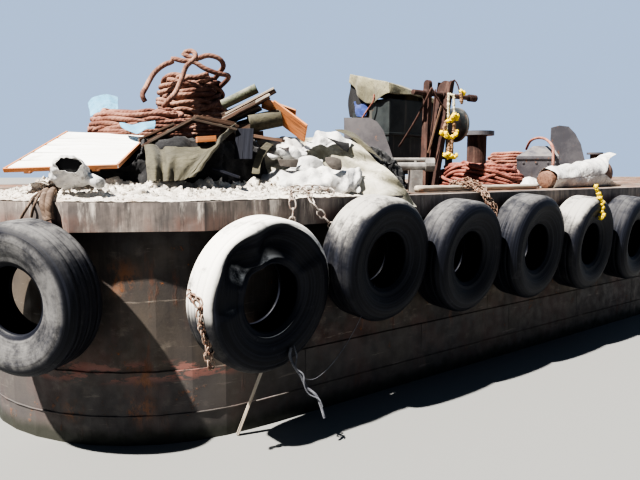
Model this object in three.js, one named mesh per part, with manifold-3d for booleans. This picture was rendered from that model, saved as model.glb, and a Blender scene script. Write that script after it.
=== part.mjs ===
// A flat-topped steel river barge with tyre fenders. Millimetres, +Z up, +X to the bow, +Y to port.
// The origin is on the bottom plating, under the middle of the barge.
import * as THREE from "three";
import * as BufferGeometryUtils from "three/addons/utils/BufferGeometryUtils.js";
import Module from "manifold-3d";

const wasm = await Module();
wasm.setup();

const GAP = 0.3;
const DEG = Math.PI / 180;

// Hull
const HULL_LENGTH = 24000;
const HULL_BREADTH = 7600;
const DRAFT = 530;
const FREEBOARD = 1962;
const DEPTH = DRAFT + FREEBOARD;
const CORNER_R = 1730;
const CORNER_STEPS = 10;
const BILGE = 250;
const BELT_TOP = DRAFT + 600;
const BELT_OUT = 12;
const BLOCK_HALF = 4200;
const CLEAR_DECK_HALF = 3100;
const DECK_THICK = 12;
const STRINGER = 480;
const HALF_L = HULL_LENGTH / 2;
const HALF_B = HULL_BREADTH / 2;
// Where the round corner meets the straight side, and the side the front
const ARC_X = HALF_L - CORNER_R;
const ARC_Y = HALF_B - CORNER_R;

// Rail around the deck edge, in straight lengths that meet in knuckles
const RAIL_OUT = 126;
const RAIL_HEIGHT = 222;
const RAIL_R = CORNER_R + RAIL_OUT;
const KNUCKLES = [15, 45, 75];

// Colours
const STEEL = { color: 0x8c8378, roughness: 0.75, metalness: 0.25 };
const RUST = { color: 0x6e3b2a, roughness: 0.9, metalness: 0.15 };
const RUBBER = { color: 0x2b2b2d, roughness: 0.85, metalness: 0 };
const ROPE = { color: 0x9a5a4a, roughness: 0.95, metalness: 0 };
const CANVAS = { color: 0x6d6c50, roughness: 0.95, metalness: 0 };
const PLATE = { color: 0x777672, roughness: 0.6, metalness: 0.4 };
const WOOD = { color: 0xb9a58c, roughness: 0.85, metalness: 0 };
const WHITE = { color: 0xe6e4da, roughness: 0.8, metalness: 0 };

const barge = new THREE.Group();

// A closed geometry with shared corners and its faces pointing out
function closed(geometry) {
  const bare = geometry.clone();
  bare.deleteAttribute("normal");
  bare.deleteAttribute("uv");
  const merged = BufferGeometryUtils.mergeVertices(bare, 1e-3);
  const p = merged.attributes.position;
  const index = Array.from(merged.index.array);
  const kept = [];
  let volume = 0;
  for (let i = 0; i < index.length; i += 3) {
    const [a, b, c] = index.slice(i, i + 3);
    if (a === b || b === c || a === c) continue;
    kept.push(a, b, c);
    const [va, vb, vc] = [a, b, c].map((k) => new THREE.Vector3().fromBufferAttribute(p, k));
    volume += va.dot(vb.cross(vc));
  }
  if (volume < 0) kept.reverse();
  merged.setIndex(kept);
  return merged;
}

function toSolid(geometry) {
  const g = closed(geometry);
  return new wasm.Manifold(
    new wasm.Mesh({
      numProp: 3,
      vertProperties: new Float32Array(g.attributes.position.array),
      triVerts: new Uint32Array(g.index.array),
    })
  );
}

function fromSolid(solid) {
  const mesh = solid.getMesh();
  const g = new THREE.BufferGeometry();
  g.setAttribute("position", new THREE.BufferAttribute(new Float32Array(mesh.vertProperties), 3));
  g.setIndex(Array.from(mesh.triVerts));
  return g;
}

function join(geometries) {
  return fromSolid(geometries.map(toSolid).reduce((all, next) => all.add(next)));
}

function cut(geometry, tools) {
  return fromSolid(tools.map(toSolid).reduce((left, tool) => left.subtract(tool), toSolid(geometry)));
}

function add(name, geometry, material) {
  const mesh = new THREE.Mesh(closed(geometry), new THREE.MeshStandardMaterial(material));
  mesh.name = name;
  barge.add(mesh);
}

function box(x0, x1, y0, y1, z0, z1) {
  const g = new THREE.BoxGeometry(x1 - x0, y1 - y0, z1 - z0);
  return g.translate((x0 + x1) / 2, (y0 + y1) / 2, (z0 + z1) / 2);
}

// A cylinder about a line from a to b
function rod(a, b, radius, sides = 12, endRadius = radius) {
  const from = new THREE.Vector3(...a);
  const to = new THREE.Vector3(...b);
  const g = new THREE.CylinderGeometry(endRadius, radius, from.distanceTo(to), sides);
  const turn = new THREE.Quaternion().setFromUnitVectors(
    new THREE.Vector3(0, 1, 0),
    to.clone().sub(from).normalize()
  );
  g.applyQuaternion(turn);
  const mid = from.add(to).multiplyScalar(0.5);
  return g.translate(mid.x, mid.y, mid.z);
}

// A solid through plan outlines that all have the same number of points: [z, outline]
function loft(levels) {
  const first = levels[0][1].map(([x, y]) => new THREE.Vector2(x, y));
  if (THREE.ShapeUtils.isClockWise(first)) {
    return loft(levels.map(([z, outline]) => [z, [...outline].reverse()]));
  }
  const count = first.length;
  const points = [];
  for (const [z, outline] of levels) {
    for (const [x, y] of outline) points.push(x, y, z);
  }
  const index = [];
  for (let k = 0; k + 1 < levels.length; k += 1) {
    for (let i = 0; i < count; i += 1) {
      const j = (i + 1) % count;
      const [a, b, c, d] = [k * count + i, k * count + j, (k + 1) * count + j, (k + 1) * count + i];
      index.push(a, b, c, a, c, d);
    }
  }
  const faces = THREE.ShapeUtils.triangulateShape(first, []);
  const last = (levels.length - 1) * count;
  for (const [a, b, c] of faces) {
    index.push(c, b, a, last + a, last + b, last + c);
  }
  const g = new THREE.BufferGeometry();
  g.setAttribute("position", new THREE.Float32BufferAttribute(points, 3));
  g.setIndex(index);
  return g;
}

// One end of the hull in plan, from x at the joint to the round corners, moved in by inset
function endOutline(jointX, inset) {
  const points = [[jointX, -(HALF_B - inset)]];
  for (const side of [-1, 1]) {
    for (let k = 0; k <= CORNER_STEPS; k += 1) {
      const angle = (side < 0 ? k : CORNER_STEPS - k) / CORNER_STEPS * 90 * DEG;
      const r = CORNER_R - inset;
      points.push([ARC_X + r * Math.sin(angle), side * (ARC_Y + r * Math.cos(angle))]);
    }
  }
  points.push([jointX, HALF_B - inset]);
  return points;
}

function middleOutline(halfLength, inset) {
  const y = HALF_B - inset;
  return [[-halfLength, -y], [halfLength, -y], [halfLength, y], [-halfLength, y]];
}

function mirrorX(geometry) {
  const g = closed(geometry).clone();
  g.scale(-1, 1, 1);
  return g;
}

// Height and how far in the side lies there
const HULL_TOP = DEPTH - DECK_THICK - GAP;
const HULL_LEVELS = [
  [0, BILGE - BELT_OUT],
  [BILGE, -BELT_OUT],
  [BELT_TOP, -BELT_OUT],
  [BELT_TOP, 0],
  [HULL_TOP, 0],
];

function hull() {
  const end = loft(HULL_LEVELS.map(([z, inset]) => [z, endOutline(BLOCK_HALF + GAP, inset)]));
  add("hull_fore_block", end, STEEL);
  add("hull_aft_block", mirrorX(end), STEEL);
  add("hull_mid_block", loft(HULL_LEVELS.map(([z, inset]) => [z, middleOutline(BLOCK_HALF, inset)])), STEEL);
  const low = DEPTH - DECK_THICK;
  const half = endOutline(0, 0).slice(1, -1);
  const whole = [...half, ...half.map(([x, y]) => [-x, -y])];
  const inner = insetOutline(STRINGER);
  const opening = loft([[low - 10, inner], [DEPTH + 10, inner]]);
  add("deck_stringer_plate", cut(loft([[low, whole], [DEPTH, whole]]), [opening]), STEEL);
  const plating = endOutline(CLEAR_DECK_HALF + GAP, STRINGER + GAP);
  add("deck_fore_plating", loft([[low, plating], [DEPTH, plating]]), STEEL);
  add("deck_aft_plating", mirrorX(loft([[low, plating], [DEPTH, plating]])), STEEL);
  const middle = middleOutline(CLEAR_DECK_HALF, STRINGER + GAP);
  add("deck_mid_plating", loft([[low, middle], [DEPTH, middle]]), STEEL);
}

function insetOutline(inset) {
  const half = endOutline(0, inset).slice(1, -1);
  return [...half, ...half.map(([x, y]) => [-x, -y])];
}

// Outer line of the rail around one corner, from the side to the front
function railCorner() {
  return KNUCKLES.map((angle) => {
    const r = RAIL_R / Math.cos(15 * DEG);
    return [ARC_X + r * Math.sin(angle * DEG), ARC_Y + r * Math.cos(angle * DEG)];
  });
}

function rails() {
  const inner = endOutline(ARC_X, -GAP).slice(1, -1);
  const outer = railCorner();
  const line = [
    [ARC_X, HALF_B + RAIL_OUT],
    ...outer,
    ...outer.map(([x, y]) => [x, -y]).reverse(),
    [ARC_X, -(HALF_B + RAIL_OUT)],
    ...inner,
  ];
  const bow = loft([[DEPTH - RAIL_HEIGHT, line], [DEPTH, line]]);
  add("rail_bow", bow, STEEL);
  add("rail_stern", mirrorX(bow), STEEL);
  const x = ARC_X - GAP;
  const near = HALF_B + GAP;
  const far = HALF_B + RAIL_OUT;
  add("rail_port", box(-x, x, near, far, DEPTH - RAIL_HEIGHT, DEPTH), STEEL);
  add("rail_starboard", box(-x, x, -far, -near, DEPTH - RAIL_HEIGHT, DEPTH), STEEL);
}

// Tyre fenders. Each hangs on chains from the deck edge and leans on the rail.
// where: degrees around the bow corner, 0 is the straight side
// along: how far aft of the corner's start (on the side) or along its flat (on a corner)
// up: the centre's height above the water
const TYRE_WIDTH = 400;
const TYRE_SIDES = 16;
const SEAT_STEPS = 40;
const CHAIN_WIDE = 50;
const CHAIN_IN = 300;
const TYRES = [
  { name: "corner", where: 60, along: 235, up: 1270, radius: 575, twist: 4, lean: 3, chains: [-200, 120] },
  { name: "1", where: 0, along: -95, up: 1235, radius: 612, twist: 7, lean: 6, chains: [330] },
  { name: "2", where: 0, along: 1085, up: 1425, radius: 560, twist: 6, lean: 5, chains: [-400] },
  { name: "3", where: 0, along: 2210, up: 1355, radius: 564, twist: 6, lean: 5, chains: [330] },
  { name: "4", where: 0, along: 3360, up: 1365, radius: 580, twist: 6, lean: 5, chains: [0] },
  { name: "5", where: 0, along: 4515, up: 1316, radius: 572, twist: 6, lean: 5, chains: [0] },
  { name: "6", where: 0, along: 5652, up: 1306, radius: 560, twist: 6, lean: 5, chains: [0] },
  { name: "7", where: 0, along: 8300, up: 1400, radius: 560, twist: 3, lean: 5, chains: [0] },
  { name: "8", where: 0, along: 12100, up: 1380, radius: 570, twist: -4, lean: 5, chains: [0] },
  { name: "9", where: 0, along: 16600, up: 1350, radius: 560, twist: 5, lean: 5, chains: [0] },
];
const STERN_CORNER = { ...TYRES[0], name: "stern_corner" };

// Half profile of the tyre ring: radius as a share of the whole, width as a share of the half width
const TYRE_PROFILE = [
  [0.45, -0.64],
  [0.82, -1],
  [1, -0.62],
  [1, 0.62],
  [0.82, 1],
  [0.45, 0.64],
];

function tyreRing(radius) {
  const half = TYRE_WIDTH / 2;
  const line = TYRE_PROFILE.map(([r, w]) => new THREE.Vector2(r * radius, w * half));
  line.push(line[0].clone());
  return new THREE.LatheGeometry(line, TYRE_SIDES);
}

// Points along all edges of a mesh, close enough together to seat it by
function edgePoints(geometry) {
  const g = closed(geometry);
  const points = [];
  for (let i = 0; i < g.index.count; i += 3) {
    for (let k = 0; k < 3; k += 1) {
      const [a, b] = [g.index.getX(i + k), g.index.getX(i + (k + 1) % 3)].map((n) =>
        new THREE.Vector3().fromBufferAttribute(g.attributes.position, n)
      );
      for (let step = 0; step < SEAT_STEPS; step += 1) {
        points.push(a.clone().lerp(b, step / SEAT_STEPS));
      }
    }
  }
  return points;
}

// The tyre in its corner frame: u points out of the side, v along it (aft on the side), z up.
// It is moved out until it clears the rail and the side below it.
function tyreInFrame(tyre, faceU) {
  const g = tyreRing(tyre.radius);
  g.rotateZ(-90 * DEG);
  g.rotateX(TYRE_SIDES % 2 ? 0 : 180 / TYRE_SIDES * DEG);
  g.rotateY(tyre.lean * DEG);
  g.rotateZ(tyre.twist * DEG);
  const z = DRAFT + tyre.up;
  let push = 0;
  for (const point of edgePoints(g)) {
    const level = point.z + z;
    const behind = level > DEPTH - RAIL_HEIGHT - 5 ? faceU + RAIL_OUT : faceU + BELT_OUT;
    push = Math.max(push, behind + GAP - point.x);
  }
  return g.translate(push, tyre.along, z);
}

// A chain from its eye on the deck over the rail to the tread, as one bar
function chainInFrame(tyre, faceU, offset) {
  const edge = faceU + RAIL_OUT;
  const top = DRAFT + tyre.up + Math.sqrt(tyre.radius ** 2 - offset ** 2);
  const base = DEPTH + GAP;
  const reach = edge + TYRE_WIDTH * 0.5;
  const side = [
    [edge - CHAIN_IN, base],
    [edge - CHAIN_IN, base + 90],
    [edge - CHAIN_IN + 60, base + 90],
    [edge - CHAIN_IN + 80, base + 40],
    [edge + 5, base + 45],
    [reach, Math.min(top + 30, base + 50)],
    [reach, top - 60],
    [edge + 2, Math.min(base, top - 20)],
    [edge + 2, base],
  ];
  const shape = new THREE.Shape(side.map(([u, z]) => new THREE.Vector2(u, z)));
  const g = new THREE.ExtrudeGeometry(shape, { depth: CHAIN_WIDE, bevelEnabled: false });
  g.rotateX(90 * DEG);
  return g.translate(0, tyre.along + offset + CHAIN_WIDE / 2, 0);
}

function tyreSolid(tyre) {
  const corner = tyre.where > 0;
  const faceU = corner ? CORNER_R : 0;
  const parts = [tyreInFrame(tyre, faceU)];
  for (const offset of tyre.chains) parts.push(chainInFrame(tyre, faceU, offset));
  const g = join(parts);
  if (corner) {
    // u and v of the flat, turned about the corner's centre
    const a = tyre.where * DEG;
    const turn = new THREE.Matrix4().set(
      Math.sin(a), -Math.cos(a), 0, ARC_X,
      Math.cos(a), Math.sin(a), 0, ARC_Y,
      0, 0, 1, 0,
      0, 0, 0, 1
    );
    return g.applyMatrix4(turn);
  }
  const turn = new THREE.Matrix4().set(
    0, -1, 0, ARC_X,
    1, 0, 0, HALF_B,
    0, 0, 1, 0,
    0, 0, 0, 1
  );
  return g.applyMatrix4(turn);
}

function mirrorY(geometry) {
  const g = geometry.clone();
  g.scale(1, -1, 1);
  return g;
}

function tyres() {
  for (const tyre of TYRES) {
    const g = tyreSolid(tyre);
    add(`tyre_port_${tyre.name}`, g, RUBBER);
    add(`tyre_starboard_${tyre.name}`, mirrorY(g), RUBBER);
  }
  const stern = mirrorX(tyreSolid(STERN_CORNER));
  add("tyre_port_stern_corner", stern, RUBBER);
  add("tyre_starboard_stern_corner", mirrorY(stern), RUBBER);
}

// Deck frame: s aft of the corner's start, t in from the port side
const at = (s, t) => [ARC_X - s, HALF_B - t];

// Bitts: an upright post and a leaning one, with a pin through both.
// Post: name, how far aft, thick, wide, lean, height
const BITTS = { s: 2848, t: 779, foot: 16 };
const POSTS = [
  ["a", 0, 50, 95, 0.03, 1309],
  ["b", 100, 64, 190, 0.2, 1328],
];
const PIN = { radius: 30, up: 1153, aft: 793, fore: 211, knob: 45, knobLong: 120 };

function bitts() {
  const [x, y] = at(BITTS.s, BITTS.t);
  const base = DEPTH + GAP;
  const z = base + PIN.up;
  const pinHole = rod([x - PIN.aft, y, z], [x + PIN.fore, y, z], PIN.radius + GAP / Math.cos(15 * DEG), 12);
  for (const [name, aft, thick, wide, lean, height] of POSTS) {
    const half = thick / 2;
    const round = wide / 2;
    const straight = height - round;
    const post = box(-half, half, -round, round, 0, straight);
    const cap = rod([-half, 0, straight], [half, 0, straight], round, 16);
    const foot = box(-thick * 0.6, thick * 0.6, -wide * 0.8, wide * 0.8, 0, BITTS.foot);
    const upright = join([post, cap]);
    upright.applyMatrix4(new THREE.Matrix4().set(
      1, 0, -lean, x - aft,
      0, 1, 0, y,
      0, 0, 1, base,
      0, 0, 0, 1
    ));
    foot.translate(x - aft, y, base);
    add(`bitt_post_${name}`, cut(join([upright, foot]), [pinHole]), RUST);
  }
  const pin = rod([x - PIN.aft, y, z], [x + PIN.fore, y, z], PIN.radius, 12);
  const knob = rod([x - PIN.aft - PIN.knobLong, y, z], [x - PIN.aft + 5, y, z], PIN.knob, 12);
  add("bitt_cross_pin", join([pin, knob]), RUST);
}

// Round bollards with a flat cap
const BOLLARD = { radius: 150, cap: 215, height: 850, capThick: 60, foot: 260 };
const BOLLARDS = [
  ["fore_port", 5210, 1890],
  ["fore_starboard", 5210, HULL_BREADTH - 1890],
  ["aft_port", 2 * ARC_X - 3000, 900],
  ["aft_starboard", 2 * ARC_X - 3000, HULL_BREADTH - 900],
];

function bollards() {
  for (const [name, s, t] of BOLLARDS) {
    const [x, y] = at(s, t);
    const z = DEPTH + GAP;
    const profile = [
      [0, 0],
      [BOLLARD.foot, 0],
      [BOLLARD.foot, 20],
      [BOLLARD.radius, 20],
      [BOLLARD.radius, BOLLARD.height - BOLLARD.capThick],
      [BOLLARD.cap, BOLLARD.height - BOLLARD.capThick],
      [BOLLARD.cap, BOLLARD.height],
      [0, BOLLARD.height],
    ].map(([r, h]) => new THREE.Vector2(r, h));
    const g = new THREE.LatheGeometry(profile, 24).rotateX(90 * DEG).translate(x, y, z);
    add(`bollard_${name}`, g, RUST);
  }
}

// Tank hatches: a low coaming with a hinged lid, hinged on its inboard side
const HATCH = { side: 640, wall: 12, height: 130, lid: 14, over: 20 };
const HINGE = { out: 34, radius: 13, knuckle: 60, lug: 16, apart: 360, clear: 2, strap: 6 };
const GRIP = { long: 140, wide: 24, in: 60, height: 34 };
const HATCHES = [
  ["fore", 2600, 4700],
  ["middle", 15300, 1900],
  ["aft", 15300, 5700],
];

function hatches() {
  for (const [name, s, t] of HATCHES) {
    const [x, y] = at(s, t);
    const half = HATCH.side / 2;
    const base = DEPTH + GAP;
    const top = base + HATCH.height;
    const inner = half - HATCH.wall;
    const ring = cut(box(x - half, x + half, y - half, y + half, base, top), [
      box(x - inner, x + inner, y - inner, y + inner, base - 10, top + 10),
    ]);
    const axisY = y + half + HINGE.out;
    const axisZ = top + GAP + HATCH.lid / 2;
    const lugs = [];
    const knuckles = [];
    for (const side of [-1, 1]) {
      const mid = x + side * HINGE.apart / 2;
      for (const end of [-1, 1]) {
        const near = mid + end * (HINGE.knuckle / 2 + HINGE.clear);
        const far = near + end * HINGE.lug;
        const [x0, x1] = [Math.min(near, far), Math.max(near, far)];
        lugs.push(box(x0, x1, y + half - 1, axisY + 8, top - 70, top - 20));
        lugs.push(box(x0, x1, axisY - 8, axisY + 16, top - 60, axisZ + 12));
      }
      const [x0, x1] = [mid - HINGE.knuckle / 2, mid + HINGE.knuckle / 2];
      knuckles.push(rod([x0, axisY, axisZ], [x1, axisY, axisZ], HINGE.radius, 12));
      knuckles.push(box(x0, x1, y + half, axisY, axisZ - HINGE.strap, axisZ + HINGE.strap));
    }
    add(`hatch_coaming_${name}`, join([ring, ...lugs]), RUST);
    const z0 = top + GAP;
    const z1 = z0 + HATCH.lid;
    const lip = half + HATCH.over;
    const plate = box(x - lip, x + lip, y - lip, y + half + 4, z0, z1);
    const near = y - half + GRIP.in;
    const grip = box(x - GRIP.long / 2, x + GRIP.long / 2, near, near + GRIP.wide, z1 - 1, z1 + GRIP.height);
    add(`hatch_lid_${name}`, join([plate, grip, ...knuckles]), PLATE);
  }
}

// Gear on the fore deck, set out in a frame of its own: v runs in from off the port bow,
// and u to its right, across the port bow corner.
const ACROSS = Math.atan2(0.6, -0.8);
const BASE = DEPTH + GAP;
const GEAR_ORIGIN = [-2530, -4300];

function place(u, v) {
  return at(GEAR_ORIGIN[0] + 0.6 * v + 0.8 * u, GEAR_ORIGIN[1] + 0.8 * v - 0.6 * u);
}

// Turns a geometry that was made with u along X and v along Y, and sets it down
function setDown(geometry, u, v, up = 0) {
  const [x, y] = place(u, v);
  return geometry.rotateZ(ACROSS).translate(x, y, BASE + up);
}

// A mound through oval plan outlines: how high, half its length and half its width
function mound(rings, steps = 14) {
  const bend = (c) => Math.sign(c) * Math.abs(c) ** 0.8;
  return loft(rings.map(([z, long, wide]) => [
    z,
    Array.from({ length: steps }, (_, k) => {
      const a = (k / steps) * 360 * DEG;
      return [long * bend(Math.cos(a)), wide * bend(Math.sin(a))];
    }),
  ]));
}

// A flat plate or block from its outline in u and height, between two depths
function upright(outline, near, far) {
  const g = new THREE.ExtrudeGeometry(
    new THREE.Shape(outline.map(([u, z]) => new THREE.Vector2(u, z))),
    { depth: far - near, bevelEnabled: false }
  );
  return g.rotateX(90 * DEG).translate(0, far, 0);
}

// The gear heap under its tarpaulins, with a board lying in its near side
const GEAR_HEAP = {
  u: -1550,
  v: 6178,
  rings: [[0, 1150, 1140], [180, 1140, 1120], [430, 1090, 1040], [560, 1000, 960]],
};
const BOARD = { u: -2088, v: 5334, up: 395, long: 470, wide: 430, thick: 32, tilt: 24 };

function boardBox(grow, above) {
  const [long, wide] = [BOARD.long + grow, BOARD.wide + grow];
  const g = box(-long, long, -wide, wide, -grow, BOARD.thick + above);
  return setDown(g.rotateX(BOARD.tilt * DEG), BOARD.u, BOARD.v, BOARD.up);
}

function gearHeap() {
  const heap = setDown(mound(GEAR_HEAP.rings), GEAR_HEAP.u, GEAR_HEAP.v);
  add("gear_under_tarpaulin", cut(heap, [boardBox(GAP, 2000)]), CANVAS);
  add("hatch_board", boardBox(0, 0), WHITE);
}

// Timbers and a rolled sheet, stacked on the heap with their ends rising to the right
const DUNNAGE = { up: 560, near: 5900, far: 6480, left: -980, right: -560, low: 260, high: 490 };

function dunnage() {
  const { left, right, low, high, near, far } = DUNNAGE;
  const stack = upright([[left, 0], [right, 0], [right, high], [left, low]], near, far);
  add("dunnage_stack", setDown(stack, 0, 0, DUNNAGE.up + GAP), WOOD);
}

// Folded sheets in a heap on the deck edge
const COVER_HEAP = {
  u: 300,
  v: 6196,
  rings: [[0, 660, 400], [180, 650, 390], [400, 560, 300], [540, 330, 160]],
};

// Two pipes with a flanged end, on two skids
const PIPES = { from: -100, to: 1280, v: 6850, radius: 46, thin: 22, up: 285, rise: 76, flange: 78, skid: 60 };

function pipes() {
  const { from, to, v, radius, thin, up, rise, flange, skid } = PIPES;
  const parts = [
    rod([from, v, up], [to, v, up], radius, 12),
    rod([from + 150, v + 20, up + rise], [to - 20, v + 20, up + rise], thin, 10),
    rod([to - 90, v, up + 20], [to + 10, v, up + 20], flange, 14),
  ];
  for (const u of [from + 200, to - 200]) {
    parts.push(box(u - skid, u + skid, v - 150, v + 150, 0, up - radius + 8));
    parts.push(box(u - 12, u + 12, v, v + 40, up, up + rise));
  }
  add("deck_pipes", setDown(join(parts), 0, 0), PLATE);
}

// Winch under its cover: a squared body, a hump at its far fore corner, and a warping drum aft
const WINCH = { s: 3210, t: 1650, long: 490, wide: 385, shoulder: 1150, height: 1460 };
const HUMP = { long: 180, wide: 140, forward: 310, inboard: 245 };
const DRUM = { from: 3690, to: 4450, t: 1650, up: 900, radius: 250, foot: 55 };

function winch() {
  const [x, y] = at(WINCH.s, WINCH.t);
  const ring = (long, wide, dx, dy) => [[-1, -1], [1, -1], [1, 1], [-1, 1]].map(([a, b]) => [
    x + a * long + dx,
    y + b * wide + dy,
  ]);
  const full = ring(WINCH.long, WINCH.wide, 0, 0);
  const body = loft([
    [BASE, full],
    [BASE + WINCH.shoulder, full],
    [BASE + WINCH.height, ring(HUMP.long, HUMP.wide, HUMP.forward, -HUMP.inboard)],
  ]);
  const [x0, y0] = at(DRUM.from, DRUM.t);
  const [x1] = at(DRUM.to, DRUM.t);
  const drum = rod([x0, y0, BASE + DRUM.up], [x1, y0, BASE + DRUM.up], DRUM.radius, 20);
  const foot = box(x1 + 60, x0 - 60, y0 - DRUM.foot * 2, y0, BASE, BASE + DRUM.up);
  add("winch_under_cover", join([body, drum, foot]), CANVAS);
}

// Rope coils: name, u, v, height of their base, outer radius, inner radius, height,
// and how many times as long as wide they lie
const COILS = [
  ["rope_heap_low", -1785, 6050, 560, 290, 90, 400, 1.9],
  ["rope_heap_tall", -1420, 6760, 560, 410, 120, 860, 1],
  ["rope_coil_fore", 2236, 8302, 0, 600, 210, 500, 1],
  ["rope_coil_second", 3328, 10396, 0, 550, 180, 720, 1],
];

function coil(u, v, up, outer, inner, height, long) {
  const profile = [
    [inner, height * 0.12],
    [inner + 50, 0],
    [outer - 50, 0],
    [outer, height * 0.15],
    [outer, height * 0.5],
    [outer - 60, height * 0.85],
    [outer - 130, height],
    [inner + 40, height * 0.85],
    [inner, height * 0.12],
  ].map(([r, h]) => new THREE.Vector2(r, h));
  const g = new THREE.LatheGeometry(profile, 20).rotateX(90 * DEG).scale(long, 1, 1);
  return setDown(g, u, v, up + GAP);
}

// A worn steel plate, narrower above, leans on the near corner of the covered winch
const LEANING = {
  u: 600,
  corner: 7601,
  thick: 12,
  lean: 20,
  outline: [
    [-300, 0], [360, 0], [372, 60], [330, 300], [260, 560], [190, 780], [110, 900], [20, 950], [-300, 950],
  ],
};

function leaningPlate() {
  const { u, corner, thick, lean, outline } = LEANING;
  const g = upright(outline, -thick, 0).rotateX(-lean * DEG);
  const tall = outline.find(([, z]) => z === 780)[1];
  add("steel_plate", setDown(g, u, corner - tall * Math.sin(lean * DEG) - 1), PLATE);
}

// A steel casing, sloping down to its near side and narrower behind, with a tall guard
// plate at its right. Near and far edges: how far in, left, right and height
const CASING = [
  [9350, 3040, 3690, 458],
  [9750, 3429, 3740, 630],
];
const GUARD = {
  thick: 20,
  outline: [
    [3700, 0], [4275, 0], [4275, 370], [4190, 662], [4095, 825], [3980, 939], [3835, 955], [3705, 922],
  ],
};

function casing() {
  const [near, far] = CASING;
  const plan = [[near[1], near[0]], [near[2], near[0]], [far[2], far[0]], [far[1], far[0]]];
  const slope = loft([[0, plan], [1, plan]]);
  const tops = slope.attributes.position;
  for (let k = 0; k < tops.count; k += 1) {
    const edge = Math.abs(tops.getY(k) - near[0]) < 1 ? near : far;
    tops.setZ(k, tops.getZ(k) * edge[3]);
  }
  const guard = upright(GUARD.outline, far[0] - 1, far[0] + GUARD.thick);
  add("steel_casing", setDown(join([slope, guard]), 0, 0), PLATE);
}

// Timber log in its white wrapping, and a pole, along the deck edge
const LOG = { s: 4790, t: 400, long: 1500, drift: 40, near: 115, far: 200 };
const POLE = { s: 2180, t: 255, long: 2300, drift: 40, radius: 38 };

function timbers() {
  const [x, y] = at(LOG.s, LOG.t);
  add("wrapped_log", rod(
    [x, y, BASE + LOG.near],
    [x - LOG.long, y - LOG.drift, BASE + LOG.far],
    LOG.near, 16, LOG.far
  ), WOOD);
  const [px, py] = at(POLE.s, POLE.t);
  const z = BASE + POLE.radius;
  add("deck_pole", rod([px, py, z], [px - POLE.long, py - POLE.drift, z], POLE.radius, 12), WOOD);
}

function gear() {
  gearHeap();
  dunnage();
  add("cover_heap", setDown(mound(COVER_HEAP.rings), COVER_HEAP.u, COVER_HEAP.v), CANVAS);
  pipes();
  winch();
  for (const [name, ...rest] of COILS) add(name, coil(...rest), ROPE);
  leaningPlate();
  casing();
  timbers();
}

hull();
rails();
tyres();
bitts();
bollards();
hatches();
gear();

export default barge;
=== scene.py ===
import math

import bmesh
import bpy
import numpy as np
from mathutils import Matrix, Vector
from mathutils import noise as field


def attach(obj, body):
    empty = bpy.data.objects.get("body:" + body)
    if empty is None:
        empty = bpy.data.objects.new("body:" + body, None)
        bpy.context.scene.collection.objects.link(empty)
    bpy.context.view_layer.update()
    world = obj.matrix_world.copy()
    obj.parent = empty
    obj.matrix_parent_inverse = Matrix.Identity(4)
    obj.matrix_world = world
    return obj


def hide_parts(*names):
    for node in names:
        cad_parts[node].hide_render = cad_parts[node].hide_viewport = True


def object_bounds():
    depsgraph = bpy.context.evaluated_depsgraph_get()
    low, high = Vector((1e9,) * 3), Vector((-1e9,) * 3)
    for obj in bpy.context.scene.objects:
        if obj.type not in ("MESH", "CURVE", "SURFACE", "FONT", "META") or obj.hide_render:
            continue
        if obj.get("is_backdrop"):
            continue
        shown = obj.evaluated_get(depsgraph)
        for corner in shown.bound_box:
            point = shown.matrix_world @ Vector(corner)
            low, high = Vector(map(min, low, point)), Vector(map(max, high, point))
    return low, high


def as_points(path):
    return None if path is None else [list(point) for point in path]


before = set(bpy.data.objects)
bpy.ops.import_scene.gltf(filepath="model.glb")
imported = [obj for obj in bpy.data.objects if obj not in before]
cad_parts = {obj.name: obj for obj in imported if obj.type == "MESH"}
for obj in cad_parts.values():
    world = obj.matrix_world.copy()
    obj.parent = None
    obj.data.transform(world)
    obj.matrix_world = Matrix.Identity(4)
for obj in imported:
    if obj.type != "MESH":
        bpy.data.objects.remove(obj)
cad_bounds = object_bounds()

# The view. The camera is in a low boat off the port bow, its lens just above the deck,
# and looks aft along the port side.
CAMERA_AT = (12.80, 8.10, 2.73)
CAMERA_AHEAD = (-0.600, -0.800)
CAMERA_PITCH = math.radians(-6.6)

camera = bpy.data.objects.new("camera", bpy.data.cameras.new("camera"))
level = Vector((*CAMERA_AHEAD, 0)) * math.cos(CAMERA_PITCH)
look = level + Vector((0, 0, math.sin(CAMERA_PITCH)))
camera.location = CAMERA_AT
camera.rotation_euler = look.to_track_quat("-Z", "Y").to_euler()
camera.data.lens = 33.75
camera.data.sensor_width = 36.0
camera.data.clip_end = 500
bpy.context.collection.objects.link(camera)
bpy.context.scene.camera = camera

# Mooring ropes. Four heaps of laid fibre rope, flaked down by hand in loose turns that
# sag onto each other: two on the covered gear, two on the deck, in two or three lengths each.
DECK = 2.492
SHOULDER = 10.27
SIDE = 3.8
CORNER_RADIUS = 1.73
CORNER_Y = SIDE - CORNER_RADIUS
ROPE_STEP = 0.045

# The gear lies square to the view: INTO_GEAR is ahead of the boat, ALONG_GEAR to its right.
INTO_GEAR = Vector((*CAMERA_AHEAD, 0.0))
ALONG_GEAR = Vector((CAMERA_AHEAD[1], -CAMERA_AHEAD[0], 0.0))
VIEW_MIDDLE = 320
HORIZON_ROW = 171
FOCAL_PIXELS = 600
EYE_UP = 0.24


def on_deck(s, t, up=0.0):
    """A point s aft of the port shoulder of the bow, t in from the port side."""
    return Vector((SHOULDER - s, SIDE - t, DECK + up))


def gear_point(u, v, up=0.0):
    """A point v ahead of the boat's camera and u to its right, over the deck."""
    ahead, across = CAMERA_AHEAD
    return Vector((CAMERA_AT[0] + ahead * v + across * u, CAMERA_AT[1] + across * v - ahead * u, DECK + up))


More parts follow.
